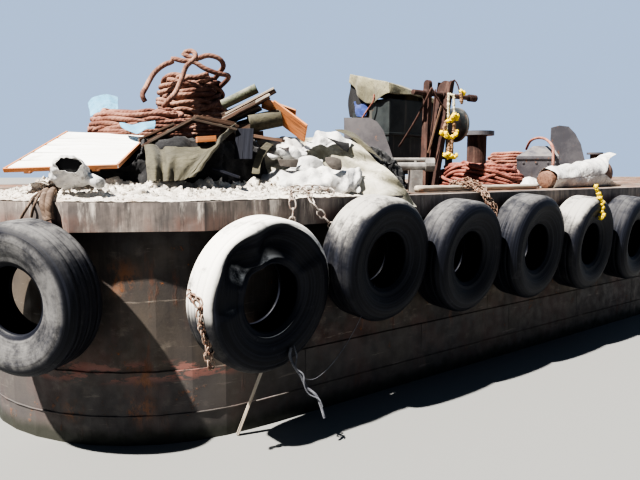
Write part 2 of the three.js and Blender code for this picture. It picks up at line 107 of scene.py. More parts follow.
def sighted(column, row, v):
    """The place seen from the boat at a column and row of the view, at a distance v."""
    right, over = (column - VIEW_MIDDLE) / FOCAL_PIXELS, (HORIZON_ROW - row) / FOCAL_PIXELS
    return gear_point(right * v, v, EYE_UP + over * v)


def apart(points, reach, skip):
    """Pushes points of a rope that are closer than reach away from each other."""
    flat = points.astype(np.float32)
    square = (flat * flat).sum(1)
    gap2 = square[:, None] + square[None] - 2 * flat @ flat.T
    a, b = np.nonzero(np.triu(gap2 < reach * reach, skip))
    if not len(a):
        return points
    between = points[a] - points[b]
    far = np.maximum(np.linalg.norm(between, axis=1), 1e-4)
    move = between * (0.5 * (reach - far) / far)[:, None]
    move[far >= reach] = 0
    total = np.zeros_like(points)
    for axis in range(3):
        total[:, axis] += np.bincount(a, move[:, axis], len(points))
        total[:, axis] -= np.bincount(b, move[:, axis], len(points))
    return points + 0.7 * total


def settle(points, starts, thick, long, wide, top, rounds):
    """Lets lengths of rope sag and pack down inside an oval heap that stands on z = 0."""
    links = np.array([i for i in range(len(points) - 1) if i + 1 not in starts])
    ends = np.zeros(len(points), bool)
    ends[[0, -1]] = True
    for start in starts:
        ends[[start, start - 1]] = True
    for turn in range(rounds):
        points[:, 2] -= 0.0035 if turn < rounds * 0.5 else 0.001
        middle = (np.roll(points, 1, 0) + np.roll(points, -1, 0)) / 2
        points[~ends] += 0.20 * (middle[~ends] - points[~ends])
        points = apart(points, thick, 4)
        for part in (links[0::2], links[1::2]):
            step = points[part + 1] - points[part]
            far = np.maximum(np.linalg.norm(step, axis=1), 1e-5)
            fix = step * (0.5 * (far - ROPE_STEP) / far)[:, None]
            points[part] += fix
            points[part + 1] -= fix
        slim = 1 - 0.30 * np.clip(points[:, 2] / top, 0, 1) ** 3
        out = np.hypot(points[:, 0] / (long - thick / 2), points[:, 1] / (wide - thick / 2)) / slim
        over = out > 1
        points[over, :2] /= out[over, None]
        points[:, 2] = np.clip(points[:, 2], thick / 2, top - thick / 2)
    for turn in range(6):
        middle = (np.roll(points, 1, 0) + np.roll(points, -1, 0)) / 2
        points[~ends] += 0.5 * (middle[~ends] - points[~ends])
    return points


def flaked(rng, length, long, wide, low, high, wild):
    """One length laid down in uneven turns from low to high, each turn a little off centre
    and tipped its own way; wild is how far the turns stray from flat."""
    count = int(length / ROPE_STEP)
    points = np.zeros((count, 3))
    angle = rng.uniform(0, 2 * math.pi)
    shift, aim = np.zeros(2), np.zeros(2)
    tilt, aim_tilt = np.zeros(2), np.zeros(2)
    size = aim_size = 0.9
    last = -1
    for k in range(count):
        if int(angle / 3.4) != last:
            last = int(angle / 3.4)
            aim_size = rng.uniform(0.80 - 0.5 * wild, 1.06)
            aim = rng.uniform(-0.16, 0.16, 2)
            aim_tilt = rng.uniform(-wild, wild, 2)
        size += 0.07 * (aim_size - size)
        shift += 0.05 * (aim - shift)
        tilt += 0.05 * (aim_tilt - tilt)
        x = long * (size * math.cos(angle) + shift[0])
        y = wide * (size * math.sin(angle) + shift[1])
        points[k] = (x, y, low + (high - low) * k / count + tilt[0] * x + tilt[1] * y)
        angle += ROPE_STEP / max(size * (long + wide) / 2, 0.1)
    return points


def new_mesh(name, points, faces, finish, smooth=True):
    """A mesh object made of points and faces, with one finish."""
    mesh = bpy.data.meshes.new(name)
    mesh.from_pydata([tuple(p) for p in points], [], [tuple(f) for f in faces])
    mesh.polygons.foreach_set("use_smooth", [smooth] * len(mesh.polygons))
    mesh.materials.append(finish)
    mesh.update()
    piece = bpy.data.objects.new(name, mesh)
    bpy.context.collection.objects.link(piece)
    return piece


def wire(tree, kind, inputs, **settings):
    """A node with its settings and inputs; an input is a value or another node's socket."""
    node = tree.nodes.new(kind)
    for key, value in settings.items():
        setattr(node, key, value)
    for key, value in inputs.items():
        if isinstance(value, bpy.types.NodeSocket):
            tree.links.new(value, node.inputs[key])
        else:
            node.inputs[key].default_value = value
    return node


def new_finish(name, rough, metal=0.0):
    """A material with its shader and the object's own coordinates."""
    finish = bpy.data.materials.new(name)
    finish.use_nodes = True
    shader = finish.node_tree.nodes["Principled BSDF"]
    shader.inputs["Roughness"].default_value = rough
    shader.inputs["Metallic"].default_value = metal
    return finish, shader, finish.node_tree.nodes.new("ShaderNodeTexCoord").outputs["Object"]


def feed(shader, label, value):
    """Links a value to one of the shader's inputs."""
    shader.id_data.links.new(value, shader.inputs[label])


def stored(shader, name, kind="Vector"):
    """An attribute of the piece's own mesh."""
    return wire(shader.id_data, "ShaderNodeAttribute", {}, attribute_name=name).outputs[kind]


def axes_of(place):
    """The three parts of a vector."""
    return wire(place.id_data, "ShaderNodeSeparateXYZ", {0: place}).outputs


def facing_up(shader):
    """How far the surface faces up, from -1 to 1."""
    return axes_of(shader.id_data.nodes.new("ShaderNodeNewGeometry").outputs["Normal"])[2]


def squeeze(place, x, y, z):
    """Coordinates with each axis scaled."""
    return wire(place.id_data, "ShaderNodeMapping", {"Vector": place, "Scale": (x, y, z)}).outputs[0]


def noise(place, scale, detail=6.0, rough=0.6, warp=0.0):
    """Plain fractal noise, 0 to 1 about a middle of 0.5."""
    inputs = {"Vector": place, "Scale": scale, "Detail": detail, "Roughness": rough, "Distortion": warp}
    return wire(place.id_data, "ShaderNodeTexNoise", inputs).outputs[0]


def span(value, low, high, to_low=0.0, to_high=1.0):
    """A value moved from one range to another, and held inside it."""
    inputs = {0: value, 1: low, 2: high, 3: to_low, 4: to_high}
    return wire(value.id_data, "ShaderNodeMapRange", inputs, interpolation_type="SMOOTHSTEP").outputs[0]


def sums(operation, a, b=0.0):
    """One sum of two values; one of them at least is a socket."""
    tree = (a if isinstance(a, bpy.types.NodeSocket) else b).id_data
    return wire(tree, "ShaderNodeMath", {0: a, 1: b}, operation=operation).outputs[0]


def times(a, b):
    """The product of two values."""
    return sums("MULTIPLY", a, b)


def plus(a, b):
    """Two values added."""
    return sums("ADD", a, b)


def tone(share, a, b):
    """Colour a where share is 0 and b where it is 1."""
    inputs = {0: share}
    for key, value in ((6, a), (7, b)):
        inputs[key] = value if isinstance(value, bpy.types.NodeSocket) else (*value, 1.0)
    return wire(share.id_data, "ShaderNodeMix", inputs, data_type="RGBA").outputs[2]


def dent(shader, height, strength, depth):
    """Bump from a height, on top of any bump that the shader already has."""
    inputs = {"Height": height, "Strength": strength, "Distance": depth}
    if shader.inputs["Normal"].links:
        inputs["Normal"] = shader.inputs["Normal"].links[0].from_socket
    feed(shader, "Normal", wire(shader.id_data, "ShaderNodeBump", inputs).outputs[0])


def rope_finish(name, base, pale, dirt, thick):
    """Fibre rope: strands by its own run and round attributes, with dirt, stray fibres and painted shade in
    the clefts between strands.
    """
    finish, shader, place = new_finish(name, 0.92)
    run = stored(shader, "run", "Fac")
    rounds = stored(shader, "round")
    axes = axes_of(rounds)
    angle = sums("ARCTAN2", axes[1], axes[0])
    twist = times(run, 3 * 2 * math.pi / (2.6 * thick))
    lay = plus(times(angle, 3.0), twist)
    strand = sums("ABSOLUTE", sums("SINE", times(lay, 0.5)))
    yarns = sums("SINE", times(lay, -4.0))
    fuzz = noise(place, 160.0, 3.0, 0.7)
    # Painted shade: the clefts between the strands are darkened towards a deep dirt tone.
    cleft_shade = span(strand, 0.0, 0.36, 1.0, 0.0)
    body = tone(span(noise(place, 7.0, 4.0), 0.36, 0.66), base, pale)
    body = tone(span(noise(place, 2.3, 5.0), 0.5, 0.68, 0.0, 0.7), body, dirt)
    body = tone(times(cleft_shade, 0.42), body, [c * 0.3 for c in dirt])
    feed(shader, "Base Color", body)
    dent(shader, strand, 0.5, thick * 0.10)
    dent(shader, yarns, 0.35, thick * 0.02)
    dent(shader, fuzz, 0.5, 0.004)
    return finish


def new_growth(name, **inputs):
    """A geometry tree with its named inputs, each with its kind, and those inputs' sockets."""
    tree = bpy.data.node_groups.new(name, "GeometryNodeTree")
    for label, kind in inputs.items():
        tree.interface.new_socket(label.replace("_", " "), in_out="INPUT", socket_type="NodeSocket" + kind)
    tree.interface.new_socket("Made", in_out="OUTPUT", socket_type="NodeSocketGeometry")
    return tree, tree.nodes.new("NodeGroupInput").outputs


def end_growth(tree, made, finish, smooth=True):
    """Ends a geometry tree with plain geometry in one finish."""
    made = wire(tree, "GeometryNodeRealizeInstances", {0: made}).outputs[0]
    if smooth:
        made = wire(tree, "GeometryNodeSetShadeSmooth", {0: made, "Shade Smooth": True}).outputs[0]
    made = wire(tree, "GeometryNodeSetMaterial", {0: made, "Material": finish}).outputs[0]
    tree.links.new(made, tree.nodes.new("NodeGroupOutput").inputs[0])
    return tree


def vector_math(operation, a, b=(0.0, 0.0, 0.0)):
    """One sum of two vectors."""
    return wire(a.id_data, "ShaderNodeVectorMath", {0: a, 1: b}, operation=operation).outputs[0]


def rope_tree():
    """Geometry nodes that lay a round rope along a line, and store run and round on it."""
    tree, given = new_growth("rope_along_line", Line="Geometry", Rope_diameter="Float", Sides="Int",
                             Finish="Material")
    line = wire(tree, "GeometryNodeMeshToCurve", {0: given["Line"]}).outputs[0]
    length = tree.nodes.new("GeometryNodeSplineParameter").outputs["Length"]
    line = wire(tree, "GeometryNodeStoreNamedAttribute", {0: line, "Name": "run", "Value": length}).outputs[0]
    half = times(given["Rope diameter"], 0.5)
    ring = wire(tree, "GeometryNodeCurvePrimitiveCircle",
                {"Resolution": given["Sides"], "Radius": half}).outputs[0]
    at = tree.nodes.new("GeometryNodeInputPosition").outputs[0]
    stamp = {0: ring, "Name": "round", "Value": vector_math("NORMALIZE", at)}
    ring = wire(tree, "GeometryNodeStoreNamedAttribute", stamp, data_type="FLOAT_VECTOR").outputs[0]
    tube = wire(tree, "GeometryNodeCurveToMesh", {0: line, 1: ring, "Fill Caps": True}).outputs[0]
    return end_growth(tree, tube, given["Finish"])


def grown(piece, tree, values):
    """Runs a geometry tree on a piece with its named inputs, and keeps the plain result."""
    grow = piece.modifiers.new("grow", "NODES")
    grow.node_group = tree
    for socket in tree.interface.items_tree:
        if socket.in_out == "INPUT" and socket.name in values:
            grow[socket.identifier] = values[socket.name]
    bpy.context.view_layer.update()
    made = bpy.data.meshes.new_from_object(piece.evaluated_get(bpy.context.evaluated_depsgraph_get()))
    made.name = piece.name
    piece.modifiers.remove(grow)
    piece.data = made
    return piece


def line_mesh(name, points):
    """A bare line of points, for a geometry tree to follow."""
    mesh = bpy.data.meshes.new(name)
    mesh.from_pydata([tuple(p) for p in points], [(i, i + 1) for i in range(len(points) - 1)], [])
    piece = bpy.data.objects.new(name, mesh)
    bpy.context.collection.objects.link(piece)
    return piece


def rope_piece(name, points, thick, finish, replaced=None):
    """One length of rope along its points."""
    piece = grown(line_mesh(name, points), ROPE_TREE, {"Rope diameter": thick, "Sides": 8, "Finish": finish})
    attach(piece, "barge")
    if replaced:
        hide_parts(replaced)
    measured = sum((b - a).length for a, b in zip(points, points[1:]))
    start = points[0] - Vector((0, 0, 0.45 * min(thick, 0.06)))
    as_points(points)


ROPE_TREE = rope_tree()
# name: u, v, base, half length, half width, height, rope diameter, lengths, how wild, colours
HEAPS = {
    "rope_heap_low": (-1.785, 6.050, 0.5606, 0.551, 0.290, 0.40, 0.046, (44.0, 44.0), 0.30,
                      (0.20, 0.085, 0.060), (0.36, 0.19, 0.145), (0.09, 0.032, 0.025)),
    "rope_heap_tall": (-1.420, 6.760, 0.5606, 0.410, 0.410, 0.86, 0.052, (56.0, 56.0, 40.0), 0.34,
                       (0.17, 0.080, 0.058), (0.34, 0.20, 0.15), (0.07, 0.027, 0.022)),
    "rope_coil_fore": (2.186, 8.302, 0.0006, 0.620, 0.600, 0.50, 0.048, (59.0, 59.0), 0.55,
                       (0.20, 0.060, 0.046), (0.31, 0.13, 0.10), (0.08, 0.028, 0.024)),
    "rope_coil_second": (3.328, 10.396, 0.0006, 0.550, 0.550, 0.72, 0.052, (59.0, 59.0, 30.0), 0.34,
                         (0.24, 0.095, 0.070), (0.38, 0.19, 0.14), (0.11, 0.04, 0.03)),
}
ROPE_FINISHES = {}
for heap, (u, v, up, long, wide, tall, thick, lengths, wild, base, pale, dirt) in HEAPS.items():
    rng = np.random.default_rng(len(heap) + int(1000 * tall))
    laid = []
    share = 1 / len(lengths)
    for k, length in enumerate(lengths):
        low = tall * (0.02 + 0.92 * share * k)
        laid.append(flaked(rng, length, long, wide, low, low + tall * 1.05 * share, wild))
    starts = set(np.cumsum([0] + [len(part) for part in laid[:-1]]).tolist())
    settled = settle(np.vstack(laid), starts, thick, long, wide, tall, 90)
    ROPE_FINISHES[heap] = finish = rope_finish(heap + "_fibre", base, pale, dirt, thick)
    for k, part in enumerate(np.split(settled, sorted(starts)[1:])):
        if not k:
            part = part[np.argmin(part[:8, 2]):]
        world = [gear_point(u, v, up + p[2]) + ALONG_GEAR * p[0] + INTO_GEAR * p[1] for p in part]
        rope_piece(f"{heap}_{k + 1}", world, thick, finish, None if k else heap)


def through(rows, count):
    """Rows of places with others between them, on smooth lines through the given ones."""
    rows = np.asarray(rows, float)
    last = len(rows) - 1
    made = []
    for t in np.linspace(0, last, count + 1):
        i = min(int(t), last - 1)
        s = t - i
        a, b, c, d = (rows[min(max(i + m, 0), last)] for m in (-1, 0, 1, 2))
        made.append(0.5 * (2 * b + (c - a) * s + (2 * a - 5 * b + 4 * c - d) * s ** 2
                           + (3 * b - a - 3 * c + d) * s ** 3))
    return np.array(made)


def bent(spots, step=0.03):
    """A smooth line through a few places, in even steps."""
    fine = [Vector(p) for p in through([tuple(p) for p in spots], 30 * len(spots))]
    even = [fine[0]]
    for p in fine[1:]:
        if (p - even[-1]).length >= step:
            even.append(p)
    return even


# Loose bights of the same ropes, thrown over the heaps: their routes as column, row, distance
BIGHTS = [("rope_bight_knot", "rope_heap_tall",
           [(214, 86, 6.74), (222, 76, 6.60), (226, 70, 6.44), (222, 63, 6.38), (211, 60, 6.36),
            (200, 63, 6.36), (192, 61, 6.36), (187, 58, 6.38), (196, 56, 6.38), (199, 62, 6.34),
            (190, 70, 6.33), (185, 82, 6.30), (178, 96, 6.22), (170, 104, 6.12), (166, 110, 6.16)]),
          ("rope_bight_wide", "rope_heap_tall",
           [(222, 90, 6.70), (231, 80, 6.48), (220, 77, 6.38), (207, 72, 6.35), (197, 66, 6.34),
            (186, 65, 6.34), (177, 63, 6.36), (176, 66, 6.36), (168, 69, 6.36), (158, 77, 6.34),
            (150, 90, 6.22), (146, 98, 6.12), (150, 106, 6.14)]),
          ("rope_bight_arc", "rope_coil_second",
           [(524, 150, 10.3), (528, 142, 10.1), (536, 139, 9.9), (544, 141, 9.55), (550, 148, 9.20),
            (551, 158, 9.13), (551, 168, 9.12), (549, 176, 9.13)])]
for name, heap, route in BIGHTS:
    line = bent([sighted(*p) for p in route])
    rope_piece(name, line, HEAPS[heap][6] * (0.8 if "arc" in name else 1), ROPE_FINISHES[heap], None)

# Hull. A flat-bottomed steel box of welded plates with round corners, painted once and
# since rubbed bare, streaked and rusted. The lower belt of doubled plating stands proud.
def dress(finish, *names):
    """Gives CAD nodes a finish."""
    for name in names:
        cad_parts[name].material_slots[0].material = finish


def joined(name, parts, finish, smooth=True):
    """One mesh object from several (points, faces) parts."""
    points, faces = [], []
    for some, few in parts:
        base = len(points)
        points.extend(some)
        faces.extend([[base + i for i in face] for face in few])
    return new_mesh(name, points, faces, finish, smooth)


def tube(line, radius, sides=8):
    """A round bar along a line of points, closed at its ends. radius may differ at each point."""
    line = [Vector(p) for p in line]
    radii = radius if isinstance(radius, (list, tuple)) else [radius] * len(line)
    points, faces = [], []
    side = None
    for k, p in enumerate(line):
        along = (line[min(k + 1, len(line) - 1)] - line[max(k - 1, 0)]).normalized()
        if side is None:
            side = along.orthogonal().normalized()
        side = (side - along * side.dot(along)).normalized()
        up = along.cross(side)
        for i in range(sides):
            a = 2 * math.pi * i / sides
            points.append(p + radii[k] * (math.cos(a) * side + math.sin(a) * up))
    for k in range(len(line) - 1):
        for i in range(sides):
            j = (i + 1) % sides
            faces.append((k * sides + i, k * sides + j, (k + 1) * sides + j, (k + 1) * sides + i))
    faces.append(tuple(reversed(range(sides))))
    last = (len(line) - 1) * sides
    faces.append(tuple(last + i for i in range(sides)))
    return points, faces


def hull_line(z, out, steps=14):
    """Points round the hull at one height, out from its side, clockwise from the stern."""
    line = []
    for sx, sy in ((1, 1), (1, -1), (-1, -1), (-1, 1)):
        for k in range(steps + 1):
            a = (k if sx * sy > 0 else steps - k) / steps * math.pi / 2
            r = CORNER_RADIUS + out
            line.append((sx * (SHOULDER + r * math.sin(a)), sy * (CORNER_Y + r * math.cos(a)), z))
    return line + line[:1]


hull_paint, shader, place = new_finish("weathered_hull_paint", 0.6)
height = axes_of(place)[2]
colour = tone(span(noise(place, 0.8, 5.0), 0.35, 0.65), (0.098, 0.080, 0.064), (0.038, 0.034, 0.036))
low = span(height, 2.0, 0.9)
pink = span(noise(squeeze(place, 1.3, 1.3, 0.9), 1.5, 7.0, 0.68), 0.49, 0.64)
colour = tone(times(pink, times(low, 0.7)), colour, (0.105, 0.056, 0.048))
pale = span(noise(squeeze(place, 2.0, 2.0, 3.2), 1.7, 8.0, 0.72), 0.54, 0.70)
colour = tone(times(pale, 0.6), colour, (0.17, 0.145, 0.12))
runs = span(noise(squeeze(place, 6.0, 6.0, 0.5), 1.0, 7.0, 0.68), 0.47, 0.70)
high = span(height, 1.1, 2.25, 0.3, 0.8)
colour = tone(times(runs, high), colour, (0.032, 0.028, 0.030))
bleed = span(noise(squeeze(place, 4.0, 4.0, 0.9), 1.3, 7.0, 0.66), 0.57, 0.68)
colour = tone(times(bleed, 0.7), colour, (0.15, 0.062, 0.036))
spots = span(noise(place, 4.5, 8.0, 0.74), 0.615, 0.66)
colour = tone(spots, colour, (0.22, 0.085, 0.03))
scrape = span(noise(squeeze(place, 0.7, 0.7, 9.0), 2.2, 7.0, 0.7), 0.62, 0.68)
colour = tone(times(scrape, 0.6), colour, (0.30, 0.26, 0.22))
# Painted shade under the rail: the top of the side, down to 2.05 m, is darkened nearly to black.
under = span(height, 2.27, 2.05)
colour = tone(sums("SUBTRACT", 0.75, times(under, 0.75)), colour, (0.025, 0.022, 0.024))
# Painted fill light: below 1.10 m the plating is lifted half way to a light grey, as if lit from below.
belt = span(height, 1.16, 1.10)
colour = tone(times(belt, 0.5), colour, (0.085, 0.078, 0.078))
paint = times(span(height, 1.02, 1.10), span(height, 1.24, 1.17))
ahead = axes_of(place)[0]
paint = times(paint, span(ahead, 10.3, 10.6))
torn_paint = span(noise(squeeze(place, 1.0, 1.0, 3.0), 3.6, 7.0, 0.7), 0.50, 0.56)
colour = tone(times(paint, torn_paint), colour, (0.22, 0.105, 0.088))

# Rusty bruises on the fore port corner where boats lie against it: middle, reach
for spot, reach in (((11.271, 3.478, 1.89), 0.11), ((11.15, 3.56, 1.08), 0.085),
                    ((11.19, 3.54, 0.84), 0.10), ((11.62, 3.20, 0.80), 0.07)):
    near = {0: place, 1: spot}
    away = wire(place.id_data, "ShaderNodeVectorMath", near, operation="DISTANCE").outputs["Value"]
    bruise = span(away, 1.9 * reach, 0.2 * reach)
    bare = times(bruise, span(noise(squeeze(place, 1, 1, 0.6), 9.0, 8.0, 0.78), 0.44, 0.60))
    colour = tone(bare, colour, (0.21, 0.095, 0.048))
wet = span(plus(height, times(noise(squeeze(place, 3, 3, 1), 2.0), 0.16)), 0.78, 0.66)
colour = tone(times(wet, 0.9), colour, (0.025, 0.027, 0.020))
feed(shader, "Base Color", colour)
feed(shader, "Roughness", span(noise(place, 9.0), 0.3, 0.7, 0.5, 0.85))
dent(shader, noise(squeeze(place, 0.8, 0.8, 0.5), 1.7, 2.0, 0.4), 0.6, 0.09)
dent(shader, plus(spots, bleed), 0.5, 0.004)
dent(shader, noise(place, 60.0, 5.0, 0.7), 0.35, 0.004)
dress(hull_paint, "hull_fore_block", "hull_mid_block", "hull_aft_block")

# Seams: one along the belt, one along its top, and uprights between the plates
BELT_PROUD = 0.012
BELT_TOP = 1.131
RAIL_FOOT = 2.26
seams = [tube(hull_line(0.77, BELT_PROUD), 0.008, 6), tube(hull_line(BELT_TOP, 0.004), 0.005, 6)]
for x in np.arange(-9.75, 9.9, 1.5):
    for sy in (1, -1):
        for ahead, y, low, high in ((0, SIDE + BELT_PROUD, 0.30, BELT_TOP - 0.006),
                                    (0.4, SIDE, BELT_TOP + 0.009, RAIL_FOOT)):
            seams.append(tube([(x + ahead, sy * y, z) for z in (low, high)], 0.0025, 6))
welds = joined("hull_weld_seams", seams, hull_paint)
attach(welds, "barge")

# Deck. Steel plates on frames with a heavier stringer plate along the edge, bare and
# rusty, trodden and dusty, with spilt mortar set in a crust round the port bow.
deck_steel, shader, place = new_finish("worn_deck_steel", 0.78)
colour = tone(span(noise(place, 1.1, 7.0, 0.65), 0.38, 0.62), (0.085, 0.07, 0.06), (0.19, 0.10, 0.06))
dust = span(noise(place, 2.3, 8.0, 0.7), 0.47, 0.66)
colour = tone(times(dust, 0.75), colour, (0.34, 0.30, 0.25))
rust = span(noise(place, 6.0, 7.0, 0.72), 0.56, 0.64)
colour = tone(rust, colour, (0.20, 0.075, 0.03))
feed(shader, "Base Color", colour)
dent(shader, noise(place, 1.4, 2.0), 0.6, 0.03)
dent(shader, noise(place, 45.0, 6.0, 0.7), 0.5, 0.006)
dress(deck_steel, "deck_stringer_plate", "deck_fore_plating", "deck_mid_plating", "deck_aft_plating")

# Deck welds: the plates are about 1.5 m wide, butted and welded from above.
WELD_UP = 0.001
WELD_THICK = 0.006
welds = []
for y in (-2.2, -0.75, 0.75, 2.2):
    for ends in ((-11.45, -4.22), (-4.19, 4.19), (4.22, 11.45)):
        welds.append(tube([(x, y, DECK + WELD_UP) for x in ends], WELD_THICK, 6))
for x in (-9.0, -6.6, -2.1, 2.1, 6.6, 9.0):
    welds.append(tube([(x, y, DECK + WELD_UP) for y in (-3.3, 3.3)], WELD_THICK, 6))
deck_welds = joined("deck_weld_seams", welds, deck_steel)
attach(deck_welds, "barge")

# Edge rail. A hollow rubbing rail of pressed plate welded round the deck edge in straight
# lengths, its top flush with the deck; grime and mortar have run down its face.
rail_paint, shader, place = new_finish("streaked_rail_paint", 0.6)
height = axes_of(place)[2]
colour = tone(span(noise(place, 1.6, 6.0, 0.65), 0.36, 0.64), (0.27, 0.225, 0.20), (0.115, 0.10, 0.095))
red = times(span(height, 2.44, 2.34), span(noise(squeeze(place, 2, 2, 0.8), 1.7, 6.0), 0.40, 0.58))
colour = tone(times(red, 0.6), colour, (0.17, 0.092, 0.072))
runs = span(noise(squeeze(place, 13.0, 13.0, 1.1), 1.0, 7.0, 0.7), 0.44, 0.68)
colour = tone(times(runs, 0.75), colour, (0.045, 0.042, 0.042))
drips = span(noise(squeeze(place, 9.0, 9.0, 1.6), 1.0, 7.0, 0.72), 0.50, 0.70)
fore = span(axes_of(place)[0], 6.9, 9.4)
dusty = plus(0.25, span(height, 2.30, 2.48, 0.0, 0.75))
colour = tone(times(times(drips, fore), dusty), colour, (0.66, 0.60, 0.54))
feed(shader, "Base Color", colour)
dent(shader, noise(place, 2.4, 3.0), 0.7, 0.03)
dent(shader, noise(place, 50.0, 5.0, 0.7), 0.35, 0.004)
dress(rail_paint, "rail_bow", "rail_stern", "rail_port", "rail_starboard")

# Mortar crust. Cement mortar spilt over the port bow in years of use, set hard on the
# plating; it is thickest against the gear and breaks into crumbs at its edge.
mortar, shader, place = new_finish("set_mortar", 0.95)
colour = tone(span(noise(place, 14.0, 8.0, 0.7), 0.36, 0.62), (0.42, 0.385, 0.34), (0.74, 0.70, 0.64))
colour = tone(span(noise(place, 42.0, 6.0, 0.7), 0.56, 0.70), colour, (0.14, 0.12, 0.11))
colour = tone(span(noise(place, 3.0, 5.0), 0.56, 0.72, 0.0, 0.6), colour, (0.36, 0.25, 0.17))
feed(shader, "Base Color", colour)
dent(shader, noise(place, 70.0, 8.0, 0.75), 0.9, 0.012)

RAIL_OUT = 0.126
EDGE = CORNER_RADIUS + RAIL_OUT
CRUST_WIDE = 0.95
CRUST_STEP = 0.022


def crust_place(run, inward):
    """A point on the deck by its run along the rail from the side, and how far in from its edge."""
    out = EDGE - inward
    a = min(max(run / EDGE, 0.0), math.pi / 2)
    x = SHOULDER + min(run, 0.0) + out * math.sin(a)
    y = CORNER_Y - max(run - EDGE * math.pi / 2, 0.0) + out * math.cos(a)
    return Vector((x, y, 0))


def lumps(points, scale, seed):
    """Smooth noise of three octaves at points, about 0."""
    def octave(p, k):
        return field.noise(Vector(p) * scale * 2 ** k + Vector((seed, 0, 7.0 * k))) / 2 ** (0.7 * k)
    return np.array([sum(octave(p, k) for k in range(3)) for p in points])


FIRST, LAST = -1.75, 3.3
runs_count = int((LAST - FIRST) / CRUST_STEP)
wide_count = int(CRUST_WIDE / CRUST_STEP)
grid, heights_at = [], []
for i in range(runs_count + 1):
    run = FIRST + (LAST - FIRST) * i / runs_count
    for j in range(wide_count + 1):
        inward = CRUST_WIDE * j / wide_count
        grid.append(crust_place(run, inward + 0.012))
        fade = min(1.0, (run - FIRST) / 0.7, (LAST - run) / 0.6)
        slope = min(1.0, inward / 0.55)
        back = min(1.0, (CRUST_WIDE - inward) / 0.12)
        heights_at.append(max(fade, 0) * back * (0.012 + 0.125 * slope ** 1.5))
rough = lumps(grid, 4.0, 3.0)
fine = lumps(grid, 19.0, 11.0)
points = []
for p, h, a, b in zip(grid, heights_at, rough, fine):
    points.append((p.x, p.y, DECK - 0.004 + max(0.0, h * (1 + 0.5 * a) + 0.030 * b * min(1.0, h / 0.06))))
faces = []
for i in range(runs_count):
    for j in range(wide_count):
        a = i * (wide_count + 1) + j
        faces.append((a, a + 1, a + wide_count + 2, a + wide_count + 1))
crust = new_mesh("mortar_crust", points, faces, mortar)
if crust.data.polygons[0].normal.z < 0:
    crust.data.flip_normals()
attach(crust, "barge")


def chance(seed, low, high):
    """A random value for each point of a geometry tree."""
    inputs = {2: low, 3: high, "Seed": seed}
    return wire(seed.id_data, "FunctionNodeRandomValue", inputs, data_type="FLOAT").outputs[1]


def chance_turn(seed):
    """A random turn about all three axes for each point of a geometry tree."""
    inputs = {0: (0, 0, 0), 1: (6.3, 6.3, 6.3), "Seed": seed}
    return wire(seed.id_data, "FunctionNodeRandomValue", inputs, data_type="FLOAT_VECTOR").outputs[0]


def crumb_tree():
    """Geometry nodes that strew broken lumps over a surface."""
    tree, given = new_growth("strewn_crumbs", Ground="Geometry", Crumbs_per_square_metre="Float",
                             Largest="Float", Seed="Int", Finish="Material")
    strewn = wire(tree, "GeometryNodeDistributePointsOnFaces", {
        0: given["Ground"], "Density": given["Crumbs per square metre"], "Seed": given["Seed"]}).outputs[0]
    ball = wire(tree, "GeometryNodeMeshIcoSphere", {"Radius": 0.5, "Subdivisions": 1}).outputs[0]
    at = tree.nodes.new("GeometryNodeInputPosition").outputs[0]
    jag = wire(tree, "ShaderNodeTexNoise", {"Vector": at, "Scale": 2.6, "Detail": 2.0}).outputs[1]
    off = vector_math("MULTIPLY", vector_math("SUBTRACT", jag, (0.5, 0.5, 0.5)), (1.3, 1.3, 1.3))
    ball = wire(tree, "GeometryNodeSetPosition", {0: ball, "Offset": off}).outputs[0]
    turn = chance_turn(given["Seed"])
    size = times(plus(sums("POWER", chance(given["Seed"], 0.0, 1.0), 3.0), 0.22), given["Largest"])
    flat = wire(tree, "ShaderNodeCombineXYZ", {0: size, 1: times(size, 0.8), 2: times(size, 0.45)}).outputs[0]
    placed = {0: strewn, "Instance": ball, "Rotation": turn, "Scale": flat}
    made = wire(tree, "GeometryNodeInstanceOnPoints", placed).outputs[0]
    return end_growth(tree, made, given["Finish"], False)


for name, dense, largest, seed, first in (
    ("mortar_grit", 1300.0, 0.024, 2, 3), ("mortar_crumbs", 420.0, 0.055, 4, 8),
    ("mortar_lumps", 40.0, 0.15, 9, 13),
):
    inner = [face for face in faces if face[0] % (wide_count + 1) >= first]
    ground = new_mesh(name, points, inner, mortar)
    if ground.data.polygons[0].normal.z < 0:
        ground.data.flip_normals()
    values = {"Crumbs per square metre": dense, "Largest": largest, "Seed": seed, "Finish": mortar}
    grown(ground, crumb_tree(), values)
    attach(ground, "barge")

